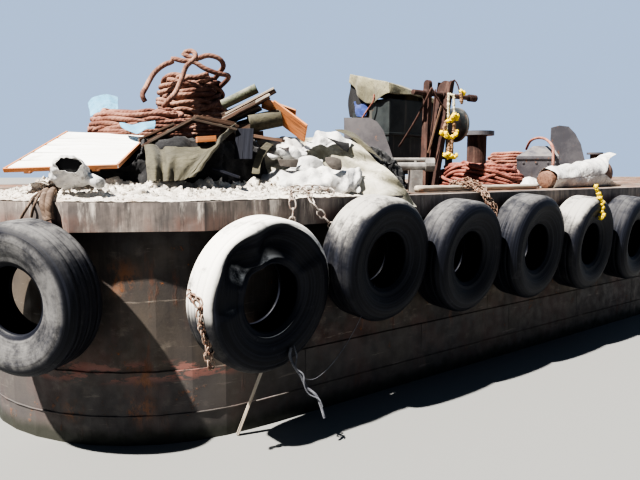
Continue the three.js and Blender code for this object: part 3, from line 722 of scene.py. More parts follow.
# Tyre fenders. Worn cross-ply truck tyres hung round the deck edge on chains, dusty where
# the sun and the quay reach them. The first port one is torn and its outer side has caved in.
def rubber_finish(name, wall):
    """Old tyre rubber: rings of wear, scuffs and road dust by its own skin attribute. wall is
    the dust on its sidewalls."""
    finish, shader, place = new_finish(name, 0.62)
    skin = stored(shader, "skin")
    across, out, dusty = axes_of(skin)
    facing = facing_up(shader)
    lines = {0: times(out, 34.0), 1: times(across, 12.0)}
    rings = wire(shader.id_data, "ShaderNodeCombineXYZ", lines).outputs[0]
    soft = vector_math("MULTIPLY", place, (1.3, 1.3, 1.3))
    ring_wear = noise(vector_math("ADD", rings, soft), 1.0, 4.0, 0.6)
    scuff = noise(place, 7.0, 7.0, 0.7)
    colour = tone(span(ring_wear, 0.42, 0.64), (0.006, 0.007, 0.012), (0.015, 0.017, 0.026))
    colour = tone(span(scuff, 0.58, 0.74, 0.0, 0.6), colour, (0.050, 0.050, 0.058))
    top = span(facing, 0.10, 0.95)
    tread = span(out, 0.88, 0.965)
    reach = plus(times(top, plus(0.30, times(tread, 0.95))), times(tread, 0.16))
    reach = plus(reach, times(wall, span(out, 0.93, 0.84)))
    broken = span(noise(place, 4.2, 8.0, 0.74), 0.30, 0.66, 0.25, 1.25)
    cover = times(times(reach, dusty), broken)
    dust = tone(span(dusty, 0.3, 1.1), (0.15, 0.148, 0.15), (0.42, 0.405, 0.38))
    colour = tone(span(cover, 0.04, 1.0, 0.0, 0.92), colour, dust)
    upper = span(plus(facing, times(tread, 0.55)), 0.30, 0.62)
    chalk = times(times(span(dusty, 1.05, 1.45), upper), span(noise(place, 3.0, 7.0, 0.7), 0.34, 0.50))
    colour = tone(chalk, colour, (0.74, 0.72, 0.68))
    feed(shader, "Base Color", colour)
    feed(shader, "Roughness", span(cover, 0.0, 0.6, 0.5, 0.95))
    shader.inputs["Specular IOR Level"].default_value = 0.22
    dent(shader, ring_wear, 0.5, 0.006)
    dent(shader, noise(place, 38.0, 6.0, 0.7), 0.4, 0.004)
    return finish


# Outer skin from bead to bead, then the inside: share of the radius, share of the half width
SKIN = [
    (0.450, 0.50), (0.448, 0.58), (0.455, 0.63), (0.475, 0.665), (0.50, 0.70), (0.515, 0.745), (0.535, 0.765),
    (0.56, 0.775), (0.60, 0.83), (0.65, 0.89), (0.70, 0.94), (0.75, 0.975), (0.795, 0.995), (0.815, 1.0),
    (0.835, 0.985), (0.87, 0.965), (0.90, 0.93), (0.918, 0.905), (0.925, 0.88), (0.945, 0.845), (0.965, 0.79),
    (0.982, 0.72), (0.993, 0.64), (0.998, 0.60), (0.999, 0.475), (0.995, 0.462), (0.995, 0.43), (1.0, 0.417),
    (1.0, 0.265), (0.9985, 0.25), (0.9985, 0.20), (1.001, 0.13), (1.001, 0.03), (0.994, 0.015),
]
LINER = [
    (0.93, 0.0), (0.928, 0.35), (0.915, 0.60), (0.88, 0.78), (0.82, 0.87), (0.74, 0.86), (0.66, 0.79),
    (0.58, 0.68), (0.52, 0.59), (0.48, 0.51), (0.46, 0.47),
]
AROUND = 80
TEAR_AT = 0.35
TEAR_REACH = 1.35
# name: corner angle, out, along, height, radius, lean, twist, dust, how uneven, chain places
TYRES = {
    "corner": (60, 2.0394, 0.235, 1.800, 0.575, 3, 4, 0.50, 0.6, ()),
    "1": (0, 0.2895, -0.095, 1.765, 0.612, 6, 7, 1.50, 1.0, ()),
    "2": (0, 0.3344, 1.085, 1.955, 0.560, 5, 6, 0.95, 0.5, ()),
    "3": (0, 0.3216, 2.210, 1.885, 0.564, 5, 6, 0.47, 0.5, ()),
    "4": (0, 0.3253, 3.360, 1.895, 0.580, 5, 6, 0.44, 0.5, ()),
    "5": (0, 0.3131, 4.515, 1.846, 0.572, 5, 6, 0.95, 0.5, ()),
    "6": (0, 0.3070, 5.652, 1.836, 0.560, 5, 6, 0.35, 0.5, ()),
    "7": (0, 0.3138, 8.300, 1.930, 0.560, 5, 3, 0.70, 0.6, (0.0,)),
    "8": (0, 0.3170, 12.100, 1.910, 0.570, 5, -4, 0.60, 0.6, (0.0,)),
    "9": (0, 0.3161, 16.600, 1.880, 0.560, 5, 5, 0.70, 0.6, (0.0,)),
    "stern_corner": (60, 2.0394, 0.235, 1.800, 0.575, 3, 4, 0.60, 0.6, (-0.2, 0.12)),
}


def beside(corner, mirror_x, mirror_y):
    """The matrix from a tyre's frame (out of the side, along it, up) to the barge's."""
    a = math.radians(corner)
    middle = CORNER_Y if corner else SIDE
    rows = [[math.sin(a), -math.cos(a), 0, SHOULDER], [math.cos(a), math.sin(a), 0, middle],
            [0, 0, 1, 0], [0, 0, 0, 1]]
    flip = Matrix.Diagonal((-1 if mirror_x else 1, -1 if mirror_y else 1, 1, 1))
    return flip @ Matrix(rows)


def keep_vectors(mesh, name, values):
    """Stores one vector for each point of a mesh as a named attribute."""
    store = mesh.attributes.new(name, "FLOAT_VECTOR", "POINT")
    store.data.foreach_set("vector", np.array([tuple(value) for value in values], np.float32).ravel())


def tyre(name, radius, place, dust, uneven, torn, seed, finish):
    """One hollow tyre: a ring of skin and liner, out of true by wear, set in place."""
    rng = np.random.default_rng(seed)
    phase = rng.uniform(0, 6.28, 4)
    inside = [(r, -w) for r, w in reversed(LINER)] + LINER[1:]
    profile = SKIN + [(r, -w) for r, w in reversed(SKIN)] + inside
    points, skin = [], []
    for i in range(AROUND):
        a = 2 * math.pi * i / AROUND
        sag = 1 + uneven * (0.006 * math.cos(2 * a + phase[0]) + 0.004 * math.cos(3 * a + phase[1]))
        for k, (r, w) in enumerate(profile):
            skin.append((w, r, dust if k < 2 * len(SKIN) and r > 0.5 else 0.0))
            wobble = 1 + uneven * 0.02 * math.sin(2 * a + phase[2] + 3 * r)
            x = w * 0.2 * wobble
            rr = r * radius * (sag if r > 0.5 else 1 + uneven * 0.02 * math.cos(2 * a + phase[3]))
            if torn and w > 0:
                # a is 0 at the top and grows aft
                from_tear = (a + TEAR_AT + math.pi) % (2 * math.pi) - math.pi
                near_top = math.cos(from_tear) ** 1.5 if abs(from_tear) < TEAR_REACH else 0.0
                wall = math.exp(-((r - 0.70) / 0.20) ** 2)
                x -= near_top * wall * (0.17 + 0.05 * math.sin(7 * a + 1))
                rr += near_top * wall * 0.05 * radius * math.sin(5 * a)
                if r < 0.6:
                    rr -= near_top * 0.05 * radius
            points.append(place @ Vector((x, rr * math.sin(a), rr * math.cos(a))))
    faces = []
    count = len(profile)
    for i in range(AROUND):
        for k in range(count):
            n, m = (i + 1) % AROUND, (k + 1) % count
            faces.append((i * count + k, n * count + k, n * count + m, i * count + m))
    piece = new_mesh(name, points, faces, finish)
    keep_vectors(piece.data, "skin", skin)
    if piece.data.polygons[10].normal.dot(place.to_3x3() @ Vector((1, 0, 0))) < 0:
        piece.data.flip_normals()
    return piece


def chain_tree():
    """Geometry nodes that string welded links along a line, each a quarter turn from the last."""
    tree, given = new_growth("links_along_line", Line="Geometry", Link_length="Float", Link_width="Float",
                             Wire="Float", Finish="Material")
    pitch = sums("SUBTRACT", given["Link length"], given["Wire"])
    line = wire(tree, "GeometryNodeMeshToCurve", {0: given["Line"]}).outputs[0]
    spots = wire(tree, "GeometryNodeCurveToPoints", {0: line, "Length": pitch}, mode="LENGTH")
    parity = sums("MODULO", tree.nodes.new("GeometryNodeInputIndex").outputs[0], 2.0)
    angle = plus(times(parity, math.pi / 2), 0.6)
    spin = wire(tree, "FunctionNodeAxisAngleToRotation", {"Axis": (1, 0, 0), "Angle": angle}).outputs[0]
    tangent = {"Vector": spots.outputs["Tangent"]}
    aim = wire(tree, "FunctionNodeAlignRotationToVector", tangent, axis="X").outputs[0]
    turn = wire(tree, "FunctionNodeRotateRotation", {0: aim, 1: spin}, rotation_space="LOCAL").outputs[0]
    sides = {0: given["Link length"], 1: given["Link width"]}
    oval = wire(tree, "GeometryNodeCurvePrimitiveQuadrilateral", sides).outputs[0]
    bend = times(given["Link width"], 0.5)
    oval = wire(tree, "GeometryNodeFilletCurve", {0: oval, "Count": 3, "Radius": bend},
                mode="POLY").outputs[0]
    half = times(given["Wire"], 0.5)
    ring = wire(tree, "GeometryNodeCurvePrimitiveCircle", {"Resolution": 6, "Radius": half}).outputs[0]
    link = wire(tree, "GeometryNodeCurveToMesh", {0: oval, 1: ring}).outputs[0]
    placed = {0: spots.outputs[0], "Instance": link, "Rotation": turn}
    return end_growth(tree, wire(tree, "GeometryNodeInstanceOnPoints", placed).outputs[0], given["Finish"])


CHAIN_TREE = chain_tree()
chain_steel, shader, place = new_finish("rusty_chain_steel", 0.85, 0.15)
colour = tone(span(noise(place, 26.0, 6.0, 0.7), 0.36, 0.62), (0.15, 0.07, 0.045), (0.33, 0.25, 0.20))
colour = tone(span(noise(place, 60.0, 4.0), 0.56, 0.7), colour, (0.48, 0.42, 0.36))
feed(shader, "Base Color", colour)
dent(shader, noise(place, 150.0, 4.0, 0.7), 0.6, 0.002)

rubber = rubber_finish("dark_tyre_rubber", 0.0)
dusty_rubber = rubber_finish("dusty_tyre_rubber", 1.15)
for number, (name, row) in enumerate(TYRES.items()):
    corner, out, along, height, radius, lean, twist, dust, uneven, chains = row
    stern = name == "stern_corner"
    for side_name, mirror_y in (("port", False), ("starboard", True)):
        frame_of = beside(corner, stern, mirror_y)
        turn = Matrix.Rotation(math.radians(twist), 4, "Z") @ Matrix.Rotation(math.radians(lean), 4, "Y")
        seat = Matrix.Translation((out, along, height)) @ turn
        node = f"tyre_{side_name}_{name}"
        torn = name == "1" and not mirror_y
        fender = tyre(f"fender_{side_name}_{name}", radius, frame_of @ seat, dust, uneven, torn, 20 + number,
                      dusty_rubber if corner else rubber)
        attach(fender, "barge")
        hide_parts(node)
        edge = (CORNER_RADIUS if corner else 0.0) + RAIL_OUT
        lines = []
        for offset in chains:
            crown = height + math.sqrt(radius ** 2 - offset ** 2)
            y = along + offset
            reach = edge + 0.19
            top = DECK + 0.03
            bends = [(edge - 0.30, y, top), (edge - 0.12, y + 0.01, top), (edge - 0.01, y, top + 0.005),
                     (edge + 0.045, y, max(top - 0.03, crown + 0.02)), (reach, y, crown + 0.032),
                     (reach + 0.10, y, crown + 0.004), (reach + 0.155, y - 0.01, crown - 0.07)]
            smooth = []
            for k in range(len(bends) - 1):
                a, b = Vector(bends[k]), Vector(bends[k + 1])
                smooth += [frame_of @ a.lerp(b, n / 4) for n in range(4)]
            lines.append(smooth + [frame_of @ Vector(bends[-1])])
        for k, line in enumerate(lines):
            chain = grown(line_mesh(f"fender_chain_{side_name}_{name}_{k + 1}", line), CHAIN_TREE,
                          {"Link length": 0.085, "Link width": 0.052, "Wire": 0.014, "Finish": chain_steel})
            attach(chain, "barge")

# Chains that show on the forward tyres: three limed ones over the first and a rusty one down its
# fore side, and a rusty tangle aft of the third. The starboard row has the same.
# name, link length, how many strands, how far they stray, finish, the route
limed_steel, shader, place = new_finish("limed_chain_steel", 0.9)
colour = tone(span(noise(place, 30.0, 6.0, 0.7), 0.40, 0.62), (0.50, 0.46, 0.42), (0.17, 0.12, 0.10))
feed(shader, "Base Color", colour)
dent(shader, noise(place, 150.0, 4.0, 0.7), 0.6, 0.002)
for name, link, many, stray, finish, route in (
    ("fender_chain_1_fore", 0.085, 1, 0.0, limed_steel,
     [(278, 196, 5.40), (284, 191, 5.34), (290, 190, 5.24), (292, 199, 5.00), (293, 210, 4.98),
      (292, 224, 4.97)]),
    ("fender_chain_1_aft", 0.085, 1, 0.0, limed_steel,
     [(290, 190, 5.30), (300, 189, 5.36), (308, 193, 5.24), (312, 202, 5.12), (318, 211, 5.12),
      (328, 222, 5.16), (337, 234, 5.20)]),
    ("fender_chain_1_back", 0.085, 1, 0.0, limed_steel,
     [(300, 189, 5.40), (312, 188, 5.42), (324, 189, 5.45), (332, 193, 5.40)]),
    ("rusty_chain_tangle", 0.055, 7, 0.055, chain_steel,
     [(452, 184, 7.00), (464, 183, 6.90), (474, 186, 6.78), (482, 190, 6.58), (487, 199, 6.48),
      (492, 208, 6.48), (498, 217, 6.50)]),
    ("hanging_chain_1", 0.070, 3, 0.03, chain_steel,
     [(192, 298, 4.28), (196, 304, 4.19), (199, 315, 4.19), (201, 330, 4.21), (205, 345, 4.24),
      (207, 358, 4.26), (207, 372, 4.27)]),
):
    rng = np.random.default_rng(len(name))
    for side_name, sy in (("port", 1), ("starboard", -1)):
        lines = []
        for k in range(many):
            strayed = [sighted(*spot) + Vector(rng.uniform(-stray, stray, 3) * (1, 0.3, 1)) for spot in route]
            lines.append([Vector((p.x, p.y * sy, p.z)) for p in bent(strayed, 0.02)])
        tops = line_mesh(f"{name}_{side_name}", [])
        shape = bmesh.new()
        for line in lines:
            verts = [shape.verts.new(p) for p in line]
            for a, b in zip(verts, verts[1:]):
                shape.edges.new((a, b))
        shape.to_mesh(tops.data)
        shape.free()
        sizes = {"Link length": link, "Link width": link * 0.62, "Wire": link * 0.17}
        chain = grown(tops, CHAIN_TREE, {**sizes, "Finish": finish})
        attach(chain, "barge")

# Rope tails over the rail at the port shoulder: two frayed brown tails and two thin lines.
tail_fibre = rope_finish("brown_tail_fibre", (0.105, 0.070, 0.050), (0.21, 0.155, 0.12),
                         (0.04, 0.027, 0.020), 0.05)
for name, thick, route in (
    ("shoulder_tail_thick", 0.060,
     [(60, 186, 5.20), (56, 189, 5.05), (52, 193, 4.80), (50, 198, 4.58), (49, 204, 4.46), (49, 214, 4.44),
      (50, 223, 4.43)]),
    ("shoulder_tail_wide", 0.055,
     [(56, 186, 5.25), (50, 189, 5.05), (46, 194, 4.82), (44, 198, 4.60), (43, 204, 4.48), (45, 214, 4.45),
      (47, 222, 4.44)]),
    ("shoulder_line_a", 0.022,
     [(58, 186, 5.25), (44, 191, 5.00), (36, 196, 4.82), (32, 200, 4.62), (29, 205, 4.53), (23, 214, 4.54),
      (17, 224, 4.55)]),
    ("shoulder_line_b", 0.022,
     [(62, 186, 5.20), (50, 187, 5.06), (42, 193, 4.84), (38, 198, 4.62), (35, 204, 4.50), (32, 212, 4.50),
      (30, 220, 4.51)]),
):
    line = bent([sighted(*p) for p in route], 0.02)
    rope_piece(name, line, thick, tail_fibre, None)

# Frayed ends of an old grey lashing that hang from the first two tyres.
strand_fibre = rope_finish("frayed_grey_strand", (0.10, 0.103, 0.12), (0.22, 0.225, 0.25),
                           (0.03, 0.03, 0.036), 0.02)
for name, thick, route in (
    ("tyre_strand_thick", 0.024,
     [(290, 352, 4.66), (289, 361, 4.64), (293, 371, 4.62), (300, 382, 4.62), (306, 394, 4.62),
      (316, 403, 4.62), (321, 415, 4.62), (325, 429, 4.62)]),
    ("tyre_strand_thin", 0.013,
     [(293, 350, 4.68), (296, 361, 4.64), (295, 373, 4.61), (303, 381, 4.60), (304, 393, 4.60),
      (309, 402, 4.60), (319, 407, 4.60), (323, 416, 4.60)]),
    ("tyre_strand_line", 0.006,
     [(376, 286, 5.15), (369, 303, 5.12), (359, 326, 5.05), (346, 350, 4.95), (331, 371, 4.82),
      (315, 385, 4.70), (302, 385, 4.63)]),
):
    rope_piece(name, bent([sighted(*p) for p in route], 0.02), thick, strand_fibre, None)

# Covered gear. A low pile of stores on the fore deck and a smaller pile by the port rail, both in
# near-black canvas that is painted shade of the hollows under the sheets. The piles are soft sacks
# and nets, so they sag between their loads.
def canvas_finish(name, base, pale, dirt, dusty, rough=0.85):
    """Worn proofed canvas: weave by its own cut, bleached and dusty on top, stained in folds."""
    finish, shader, place = new_finish(name, rough)
    shader.inputs["Sheen Weight"].default_value = 0.15
    cut = stored(shader, "cut")
    facing = facing_up(shader)
    fade = span(noise(cut, 2.4, 6.0, 0.65), 0.38, 0.64)
    colour = tone(fade, base, pale)
    creases = noise(cut, 9.0, 8.0, 0.75, 1.2)
    colour = tone(span(creases, 0.52, 0.66, 0.0, 0.75), colour, dirt)
    dust = times(span(facing, -0.2, 0.85), span(noise(place, 5.0, 8.0, 0.7), 0.34, 0.62))
    colour = tone(times(dust, dusty), colour, (0.66, 0.635, 0.58))
    speck = span(noise(place, 34.0, 5.0, 0.7), 0.60, 0.70)
    colour = tone(times(speck, 0.6), colour, dirt)
    feed(shader, "Base Color", colour)
    threads = {"Vector": cut, "Scale": 160.0, "Distortion": 0.6}
    weave = wire(shader.id_data, "ShaderNodeTexWave", threads).outputs[1]
    dent(shader, noise(cut, 5.0, 5.0, 0.62, 1.6), 0.6, 0.03)
    dent(shader, creases, 0.6, 0.008)
    dent(shader, weave, 0.25, 0.0006)
    return finish


def pile(name, node, finish, sink, seed):
    """A soft lumpy pile just inside a CAD node, with the hollows between what it covers."""
    shape = bpy.data.meshes.new(name)
    core = bmesh.new()
    core.from_mesh(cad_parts[node].data)
    bmesh.ops.remove_doubles(core, verts=core.verts, dist=1e-5)
    core.to_mesh(shape)
    core.free()
    piece = bpy.data.objects.new(name, shape)
    bpy.context.collection.objects.link(piece)
    even = piece.modifiers.new("even", "REMESH")
    even.mode = "VOXEL"
    even.voxel_size = 0.035
    bpy.context.view_layer.update()
    made = bpy.data.meshes.new_from_object(piece.evaluated_get(bpy.context.evaluated_depsgraph_get()))
    piece.modifiers.remove(even)
    piece.data = made
    piece.data.materials.clear()
    piece.data.materials.append(finish)
    spots = [v.co.copy() for v in made.vertices]
    normals = [v.normal.copy() for v in made.vertices]
    big = lumps(spots, 2.6, seed)
    small = lumps(spots, 9.0, seed + 5)
    for k, vertex in enumerate(made.vertices):
        fold = 0.5 + 0.5 * big[k] + 0.35 * abs(small[k])
        vertex.co = spots[k] - normals[k] * sink * min(max(fold, 0.0), 1.4)
    made.polygons.foreach_set("use_smooth", [True] * len(made.polygons))
    keep_vectors(made, "cut", spots)
    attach(piece, "barge")
    return piece


def spread(rows, step=0.028):
    """A sheet that lies through rows of sighted places, upper row first."""
    grid = np.array([[tuple(sighted(*p)) for p in row] for row in rows])
    tall, wide = (
        max(4, round(float(np.linalg.norm(np.diff(grid, axis=axis), axis=-1).sum(axis).mean()) / step))
        for axis in (0, 1)
    )
    return through(through(grid, tall).transpose(1, 0, 2), wide).transpose(1, 0, 2)


def flat_of(sheet):
    """The flat cut that a sheet came from, by its mean lengths down and along."""
    down = np.linalg.norm(np.diff(sheet, axis=0), axis=-1).mean(1)
    along = np.linalg.norm(np.diff(sheet, axis=1), axis=-1).mean(0)
    x, y = (np.concatenate([[0], np.cumsum(gaps)]) for gaps in (along, down))
    return np.stack(np.meshgrid(x, y), -1)


def crumpled(sheet, deep, seed, coarse=1.5, along=0.0):
    """Folds a sheet into flat facets with sharp creases, like stiff cloth that was crushed.
    along, from -1 to 1, turns the creases down the sheet or across it."""
    rng = np.random.default_rng(seed)
    flat = flat_of(sheet)
    normal = np.cross(np.gradient(sheet, axis=0), np.gradient(sheet, axis=1))
    normal /= np.maximum(np.linalg.norm(normal, axis=-1, keepdims=True), 1e-9)
    push = np.zeros(sheet.shape[:2])
    for k in range(9):
        a = rng.uniform(0, math.pi)
        way = np.array([math.cos(a) * (1 + along), math.sin(a) * (1 - along)])
        bend = 0.05 * np.sin(flat[..., ::-1] * rng.uniform(3, 9, 2) + rng.uniform(0, 6, 2))
        wave = (flat + bend) @ way * coarse * 1.36 ** k + rng.uniform()
        patch = 0.5 + 0.5 * np.sin(flat @ rng.uniform(-6, 6, 2) + rng.uniform(0, 6))
        push += (np.abs(wave - np.round(wave)) * 2 - 0.5) * patch / 1.30 ** k
    return sheet + normal * (deep * push)[..., None]


def hemmed(sheet, radius, count):
    """Rolls a sheet's right edge up towards the front, as more columns on a spiral."""
    edge = sheet[:, -1]
    out = edge - sheet[:, -3]
    out /= np.linalg.norm(out, axis=-1, keepdims=True)
    front = np.cross(np.gradient(edge, axis=0), out)
    front /= np.linalg.norm(front, axis=-1, keepdims=True)
    columns = []
    for k in range(1, count + 1):
        a, r = 2 * math.pi * k / 11, radius * (1 - 0.4 * k / count)
        columns.append(edge + front * radius + r * (out * math.sin(a) - front * math.cos(a)))
    return np.concatenate([sheet, np.stack(columns, 1)], 1)


def cut_sheet(name, sheet, finish, thick=0.004, cut=None):
    """A piece of cloth from a grid of places, with its flat size worked out."""
    rows, cols = sheet.shape[:2]
    cut = flat_of(sheet) if cut is None else cut
    index = np.arange(rows * cols).reshape(rows, cols)
    faces = np.stack([index[:-1, :-1], index[:-1, 1:], index[1:, 1:], index[1:, :-1]], -1).reshape(-1, 4)
    piece = new_mesh(name, sheet.reshape(-1, 3).tolist(), faces.tolist(), finish)
    flat = np.concatenate([cut, np.zeros((rows, cols, 1))], -1)
    keep_vectors(piece.data, "cut", flat.reshape(-1, 3))
    body = piece.modifiers.new("thickness", "SOLIDIFY")
    body.thickness = thick
    body.offset = 0
    soft = piece.modifiers.new("soft", "SUBSURF")
    soft.levels = soft.render_levels = 1
    across, down = sheet[:-1, 1:] - sheet[:-1, :-1], sheet[1:, :-1] - sheet[:-1, :-1]
    area = float(np.linalg.norm(np.cross(across, down), axis=-1).sum())
    size = cut.reshape(-1, 2).max(0) - cut.reshape(-1, 2).min(0)
    size *= max(1.0, math.sqrt(area / float(size[0] * size[1])))
    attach(piece, "barge")
    return piece


# Near-black canvas is painted shade: the piles under the sheets, the fore side of the winch case, a shadow on
# the white sheets and the inside of the sack.
painted_shade_canvas = canvas_finish("near_black_shade_canvas", (0.0026, 0.003, 0.005), (0.0065, 0.0065, 0.009),
                            (0.0015, 0.0015, 0.002), 0.012)
olive_canvas = canvas_finish("olive_canvas", (0.050, 0.045, 0.027), (0.098, 0.089, 0.056),
                             (0.018, 0.016, 0.010), 0.03)
dusted_canvas = canvas_finish("cement_dusted_canvas", (0.27, 0.255, 0.19), (0.50, 0.475, 0.40),
                              (0.11, 0.10, 0.07), 0.50)
limed_sheet = canvas_finish("lime_white_sheet", (0.42, 0.42, 0.425), (0.64, 0.64, 0.63),
                            (0.15, 0.14, 0.135), 0.45, 0.7)
blue_sheet = canvas_finish("pale_blue_sheet", (0.08, 0.27, 0.42), (0.16, 0.38, 0.55),
                           (0.05, 0.11, 0.16), 0.06)

store_pile = pile("store_pile", "gear_under_tarpaulin", painted_shade_canvas, 0.12, 4.0)
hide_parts("gear_under_tarpaulin")
rail_pile = pile("rail_pile", "cover_heap", painted_shade_canvas, 0.17, 9.0)
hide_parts("cover_heap")

# Olive tarpaulin down the front of the stores in deep folds, its free edge rolled up.
olive = spread([[(146, 146, 5.22), (155, 145, 5.22), (162, 148, 5.27), (170, 147, 5.21), (182, 148, 5.22),
                 (198, 148, 5.26), (216, 144, 5.40), (237, 130, 5.70)],
                [(147, 156, 5.12), (155, 153, 5.08), (163, 157, 5.14), (170, 158, 5.06), (179, 157, 5.10),
                 (191, 157, 5.11), (206, 153, 5.18), (223, 143, 5.34)],
                [(148, 168, 5.03), (156, 166, 4.97), (164, 168, 5.04), (169, 168, 4.97), (176, 168, 5.03),
                 (185, 168, 5.01), (195, 165, 5.05), (207, 160, 5.10)],
                [(149, 183, 4.98), (156, 182, 4.89), (163, 182, 4.98), (168, 182, 4.91), (173, 182, 4.97),
                 (178, 181, 4.95), (184, 181, 4.96), (191, 178, 4.98)]], 0.024)
olive = hemmed(crumpled(olive, 0.020, 3, 2.2, 0.4), 0.034, 13)
cut_sheet("olive_tarpaulin", olive, olive_canvas)

# Cement-dusted tarpaulin over the smaller pile, its after corner down over the port rail.
dusted = spread([
    [(256, 141, 6.04), (286, 139, 6.08), (316, 137, 6.12), (338, 136, 6.12), (353, 139, 6.10)],
    [(261, 152, 5.98), (290, 150, 6.00), (318, 149, 6.00), (344, 149, 5.98), (366, 153, 5.93)],
    [(266, 166, 5.86), (295, 166, 5.88), (326, 165, 5.87), (355, 165, 5.86), (384, 167, 5.85)],
    [(270, 180, 5.76), (299, 181, 5.78), (331, 181, 5.79), (365, 181, 5.79), (401, 184, 5.81)],
    [(272, 190, 5.68), (300, 192, 5.66), (335, 195, 5.62), (372, 200, 5.56), (418, 208, 5.91)],
], 0.03)
cut_sheet("dusted_tarpaulin", crumpled(dusted, 0.060, 8, 2.0), dusted_canvas)

# Lime-white sheets thrown on top in crumpled folds, stiff with lime.
for name, rows, deep, seed, coarse in (
    ("crumpled_sheet_low",
     [[(262, 176, 5.76), (284, 169, 5.74), (306, 168, 5.74), (328, 168, 5.74), (350, 169, 5.76),
       (362, 173, 5.78)],
      [(258, 182, 5.64), (284, 176, 5.60), (308, 175, 5.58), (330, 175, 5.58), (350, 176, 5.62),
       (362, 180, 5.68)],
      [(256, 188, 5.56), (284, 185, 5.50), (308, 186, 5.50), (332, 187, 5.52), (350, 187, 5.56),
       (360, 187, 5.62)],
      [(254, 192, 5.50), (284, 192, 5.52), (308, 193, 5.54), (332, 194, 5.56), (350, 193, 5.58),
       (358, 193, 5.62)]], 0.065, 12, 3.2),
    ("crumpled_sheet_top",
     [[(308, 140, 6.02), (318, 133, 6.02), (330, 134, 6.02), (342, 137, 6.00), (352, 142, 5.98)],
      [(307, 146, 5.94), (317, 139, 5.92), (327, 139, 5.90), (339, 142, 5.90), (350, 147, 5.90)],
      [(305, 156, 5.86), (316, 148, 5.84), (326, 145, 5.84), (336, 146, 5.86), (347, 151, 5.86)]],
     0.080, 15, 4.0),
    ("crumpled_sheet_bag",
     [[(292, 164, 5.78), (302, 158, 5.78), (312, 158, 5.78), (322, 162, 5.80)],
      [(292, 169, 5.72), (302, 166, 5.66), (313, 166, 5.66), (324, 168, 5.72)],
      [(292, 175, 5.68), (303, 176, 5.60), (314, 176, 5.60), (326, 175, 5.68)]], 0.065, 22, 5.0),
    ("crumpled_sheet_fore",
     [[(272, 144, 5.98), (283, 139, 5.96), (294, 139, 5.96), (303, 145, 5.96)],
      [(270, 151, 5.88), (282, 147, 5.80), (295, 148, 5.80), (306, 153, 5.86)],
      [(273, 158, 5.82), (283, 157, 5.74), (295, 158, 5.74), (305, 160, 5.80)],
      [(277, 161, 5.86), (285, 162, 5.82), (294, 162, 5.82), (303, 162, 5.86)]], 0.085, 19, 6.0),
):
    cut_sheet(name, crumpled(spread(rows, 0.018), deep, seed, coarse), limed_sheet)

# Between and beside the white sheets: dark brown scraps of old canvas, a near-black patch that is a painted
# shadow, an olive edge, a narrow strip
brown_canvas = canvas_finish("brown_old_canvas", (0.045, 0.037, 0.032), (0.085, 0.072, 0.062),
                             (0.02, 0.017, 0.015), 0.05)
for name, rows, finish in (
    ("brown_scrap_fore",
     [[(278, 160, 5.66), (288, 160, 5.62), (299, 160, 5.64)],
      [(280, 167, 5.64), (290, 168, 5.60), (297, 168, 5.62)]], brown_canvas),
    ("brown_scrap_top",
     [[(325, 158, 5.60), (334, 158, 5.58), (341, 160, 5.58)],
      [(326, 164, 5.56), (334, 166, 5.54), (342, 167, 5.56)],
      [(332, 170, 5.54), (337, 171, 5.54), (341, 171, 5.56)]], brown_canvas),
    ("dark_scrap_top",
     [[(325, 138, 5.72), (337, 142, 5.70), (349, 144, 5.70)],
      [(333, 143, 5.70), (341, 147, 5.68), (349, 149, 5.68)],
      [(342, 150, 5.68), (345, 152, 5.68), (348, 153, 5.68)]], painted_shade_canvas),
    ("olive_edge",
     [[(334, 131, 6.14), (348, 132, 6.14), (357, 137, 6.12)],
      [(350, 138, 6.04), (360, 142, 6.02), (369, 148, 5.99)],
      [(364, 151, 5.97), (375, 156, 5.94), (384, 163, 5.92)]], olive_canvas),
    ("olive_strip",
     [[(267, 143, 5.70), (274, 146, 5.72)], [(260, 150, 5.62), (267, 154, 5.62)],
      [(255, 160, 5.54), (262, 163, 5.54)], [(252, 174, 5.44), (260, 175, 5.46)]], olive_canvas),
):
    cut_sheet(name, crumpled(spread(rows, 0.018), 0.012, 5, 3.0), finish)

# An open cement sack on the crust before the board: rings from its mouth to its foot, as
# column, row, distance, half width, half height.
rings = through([(71, 165, 4.60, 0.096, 0.062), (71, 166, 4.62, 0.112, 0.070),
                 (71, 168, 4.66, 0.128, 0.086), (71, 173, 4.72, 0.150, 0.100),
                 (72, 178, 4.78, 0.160, 0.090), (73, 182, 4.84, 0.10, 0.05)], 30)
sack = []
for column, row, away, wide, tall in rings:
    middle = np.array(sighted(column, row, away))
    turns = np.linspace(0, 2 * math.pi, 61)[:, None]
    across = np.cos(turns) * wide * np.array(ALONG_GEAR)
    sack.append(middle + across + np.sin(turns) * tall * np.array((0.12, 0.16, 0.98)))
sack = crumpled(np.array(sack), 0.034, 31, 5.0)
sack[:, -1] = sack[:, 0]
# A near-black disc just inside the mouth is painted shade of the sack's inside.
mouth = sack[7, :-1].mean(0)
inside = [tuple(mouth + 0.86 * (p - mouth)) for p in sack[7, :-1]]
sack_mouth_shade = new_mesh("cement_sack_mouth_shade", inside, [tuple(range(len(inside)))], painted_shade_canvas, False)
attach(sack_mouth_shade, "barge")
offcut = [sighted(85, 177, 4.80), sighted(93, 180, 4.72), sighted(101, 184, 4.64)]
points, faces = tube([offcut[0], offcut[1], offcut[2], offcut[2], offcut[1]],
                     [0.046, 0.046, 0.046, 0.036, 0.036], 20)
pipe_offcut = new_mesh("pipe_offcut", points, faces, limed_sheet)
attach(pipe_offcut, "barge")
cut_sheet("cement_sack", sack, limed_sheet)

